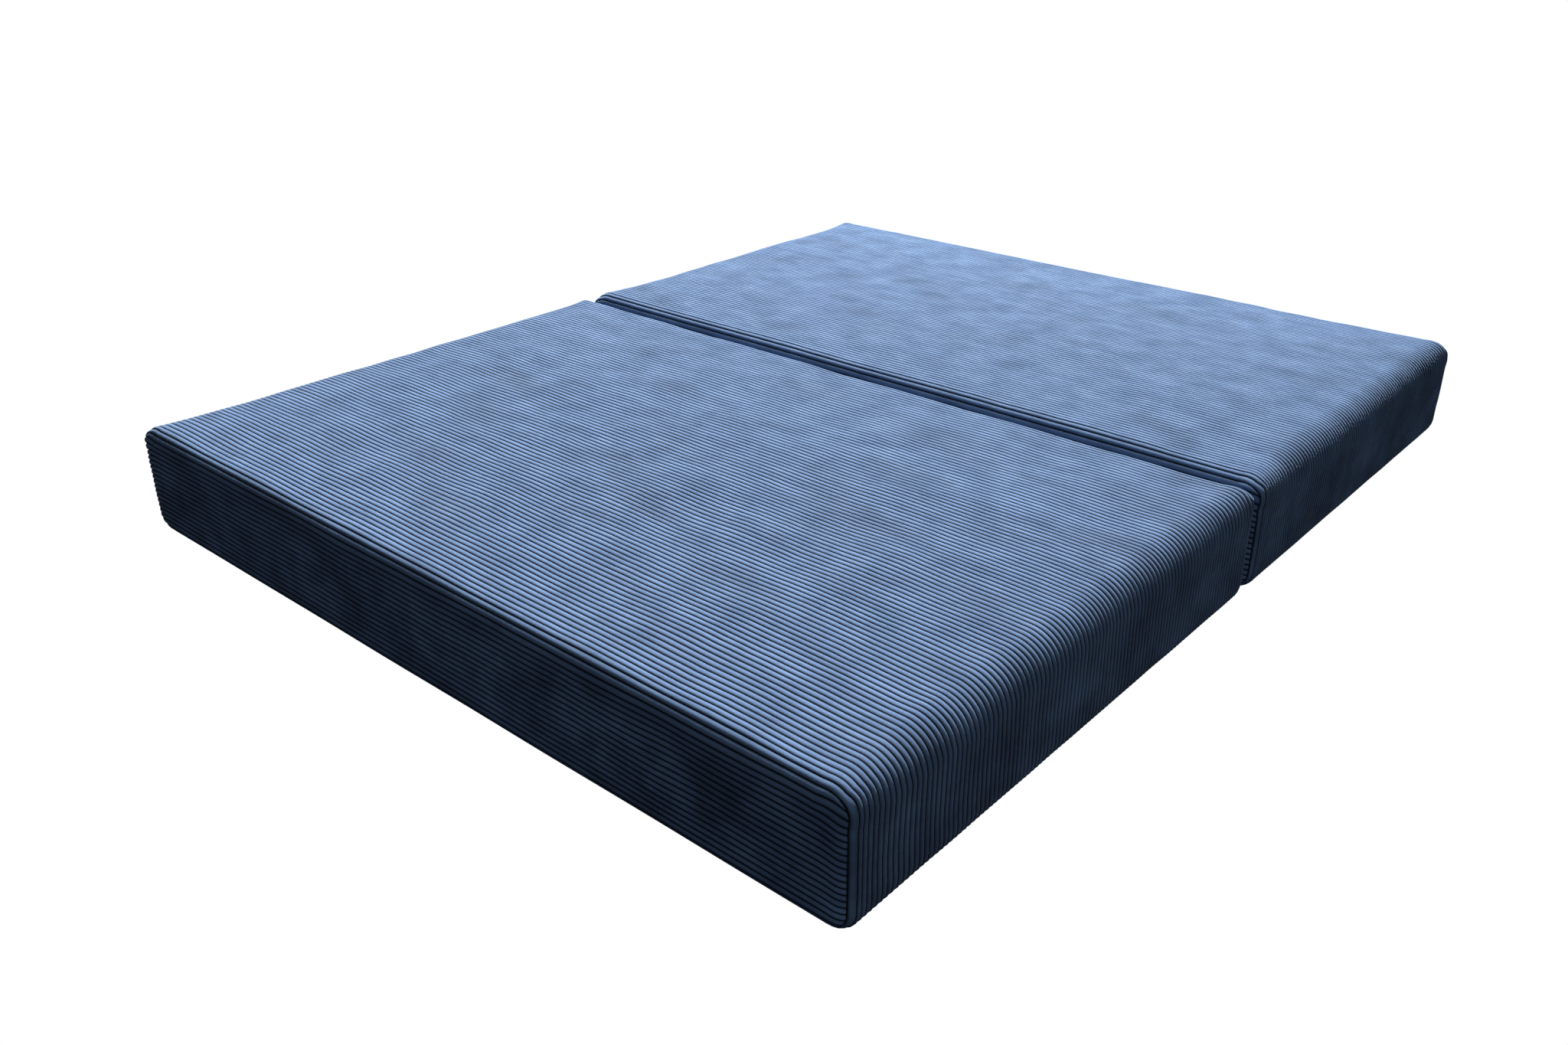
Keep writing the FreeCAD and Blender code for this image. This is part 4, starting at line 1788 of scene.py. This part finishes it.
@dataclass
class Studio:
    """A pale room with soft light and the camera.

    Args:
        floor_level: height of the floor.
        room: colour of the room's own light.
        ambient: how strong that light is.
        key: place, size and power of the main light, high behind the left of the room.
        fill: the same of the weak light at the front right.
        aim: what both lights point at.
        floor_size: half the floor's width.
        stand: where the camera stands.
        looks: how far it is turned, tipped down and rolled, in radians.
        lens: its focal length in millimetres.
    """

    floor_level: float
    room: Colour = (0.54, 0.66, 0.82)
    ambient: float = 0.055
    key: tuple[Place, float, float] = ((-2.8, 4.0, 5.4), 2.6, 1600.0)
    fill: tuple[Place, float, float] = ((2.6, -2.2, 4.2), 1.0, 34.0)
    aim: Place = (0, 0, 0.15)
    floor_size: float = 40
    stand: Place = (1.5096, -1.9106, 1.1078)
    looks: Place = (-0.7177, 0.4601, -0.0022)
    lens: float = 30.84

    def build(self) -> None:
        """Makes the floor, the lights, the room's colour and the camera."""
        self.floor()
        self.lights()
        self.world()
        self.camera()

    def floor(self) -> None:
        """A plain white floor, below the lowest the object reaches when it is folded."""
        bm = bmesh.new()
        bmesh.ops.create_grid(bm, x_segments=1, y_segments=1, size=self.floor_size)
        bmesh.ops.translate(bm, vec=(0, 0, self.floor_level), verts=bm.verts)
        floor = new_piece("floor", bm)
        material = bpy.data.materials.new("white_floor")
        material.use_nodes = True
        tree = material.node_tree
        tree.nodes.clear()
        output = tree.nodes.new("ShaderNodeOutputMaterial")
        glow = put(tree, "Emission", None, Color=(1, 1, 1, 1), Strength=1.0)
        tree.links.new(glow.outputs[0], output.inputs[0])
        floor.data.materials.append(material)
        floor.visible_diffuse = False
        floor.visible_glossy = False
        floor.visible_transmission = False
        floor.visible_shadow = False
        floor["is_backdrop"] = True

    def lights(self) -> None:
        """A large soft key light and a weak one opposite."""
        target = Vector(self.aim)
        for name, (place, size, power) in (("key", self.key), ("fill", self.fill)):
            lamp = bpy.data.lights.new(name, "AREA")
            lamp.shape, lamp.size, lamp.energy = "DISK", size, power
            light = bpy.data.objects.new(name, lamp)
            light.location = place
            light.rotation_euler = (target - light.location).to_track_quat("-Z", "Y").to_euler()
            bpy.context.scene.collection.objects.link(light)

    def world(self) -> None:
        """White where the camera looks past the object, and a dim even light otherwise."""
        world = bpy.data.worlds.new("studio")
        bpy.context.scene.world = world
        world.use_nodes = True
        tree = world.node_tree
        tree.nodes.clear()
        output = tree.nodes.new("ShaderNodeOutputWorld")
        seen = put(tree, "Background", None, Color=(1, 1, 1, 1), Strength=1.0)
        dim = put(tree, "Background", None, Color=(*self.room, 1), Strength=self.ambient)
        ray = put(tree, "LightPath")
        by_camera = ray.outputs["Is Camera Ray"]
        choice = put(tree, "MixShader", None, i0=by_camera, i1=dim.outputs[0], i2=seen.outputs[0])
        tree.links.new(choice.outputs[0], output.inputs[0])

    def camera(self) -> None:
        """The camera, above the front right corner."""
        yaw, pitch, roll = self.looks
        forward = Vector(
            (math.sin(yaw) * math.cos(pitch), math.cos(yaw) * math.cos(pitch), -math.sin(pitch))
        )
        level = Vector((math.cos(yaw), -math.sin(yaw), 0))
        upward = level.cross(forward)
        right = math.cos(roll) * level + math.sin(roll) * upward
        top = math.cos(roll) * upward - math.sin(roll) * level
        lens = bpy.data.cameras.new("camera")
        lens.sensor_width = 36
        lens.lens = self.lens
        lens.clip_start = 0.05
        lens.clip_end = 100
        camera = bpy.data.objects.new("camera", lens)
        turn = Matrix((right, top, -forward)).transposed().to_4x4()
        camera.matrix_world = Matrix.Translation(self.stand) @ turn
        bpy.context.scene.collection.objects.link(camera)
        bpy.context.scene.camera = camera


def main() -> None:
    """Builds the mattress and the studio."""
    logging.basicConfig(level=logging.INFO, format="%(message)s")
    bpy.context.scene.view_settings.view_transform = "Standard"
    wardrobe = Wardrobe(finishes(Effects()))
    slots = {row["node"]: row["material_slot"] for row in frame["record"]["subparts"]}
    for node, piece in frame["nodes"].items():
        wardrobe.wear(piece, slots[node])
    slumped = {"side_depth": 0.030, "soft_top": 0.041, "band": 0.026}
    for block in (Block("seat", wardrobe, 11), Block("back", wardrobe, 47, slumped)):
        block.build()
    Hinge(wardrobe).build()
    height = CAD_BOX[1].z - CAD_BOX[0].z
    Studio(floor_level=-height - 0.02).build()
    boxes = {"cad": CAD_BOX, "visual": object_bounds()}
    sizes = {name: [list(low), list(high)] for name, (low, high) in boxes.items()}
    for name, (low, high) in sizes.items():
        LOG.info("%s box: %s to %s", name, [round(v, 4) for v in low], [round(v, 4) for v in high])


if __name__ == "__main__":
    main()
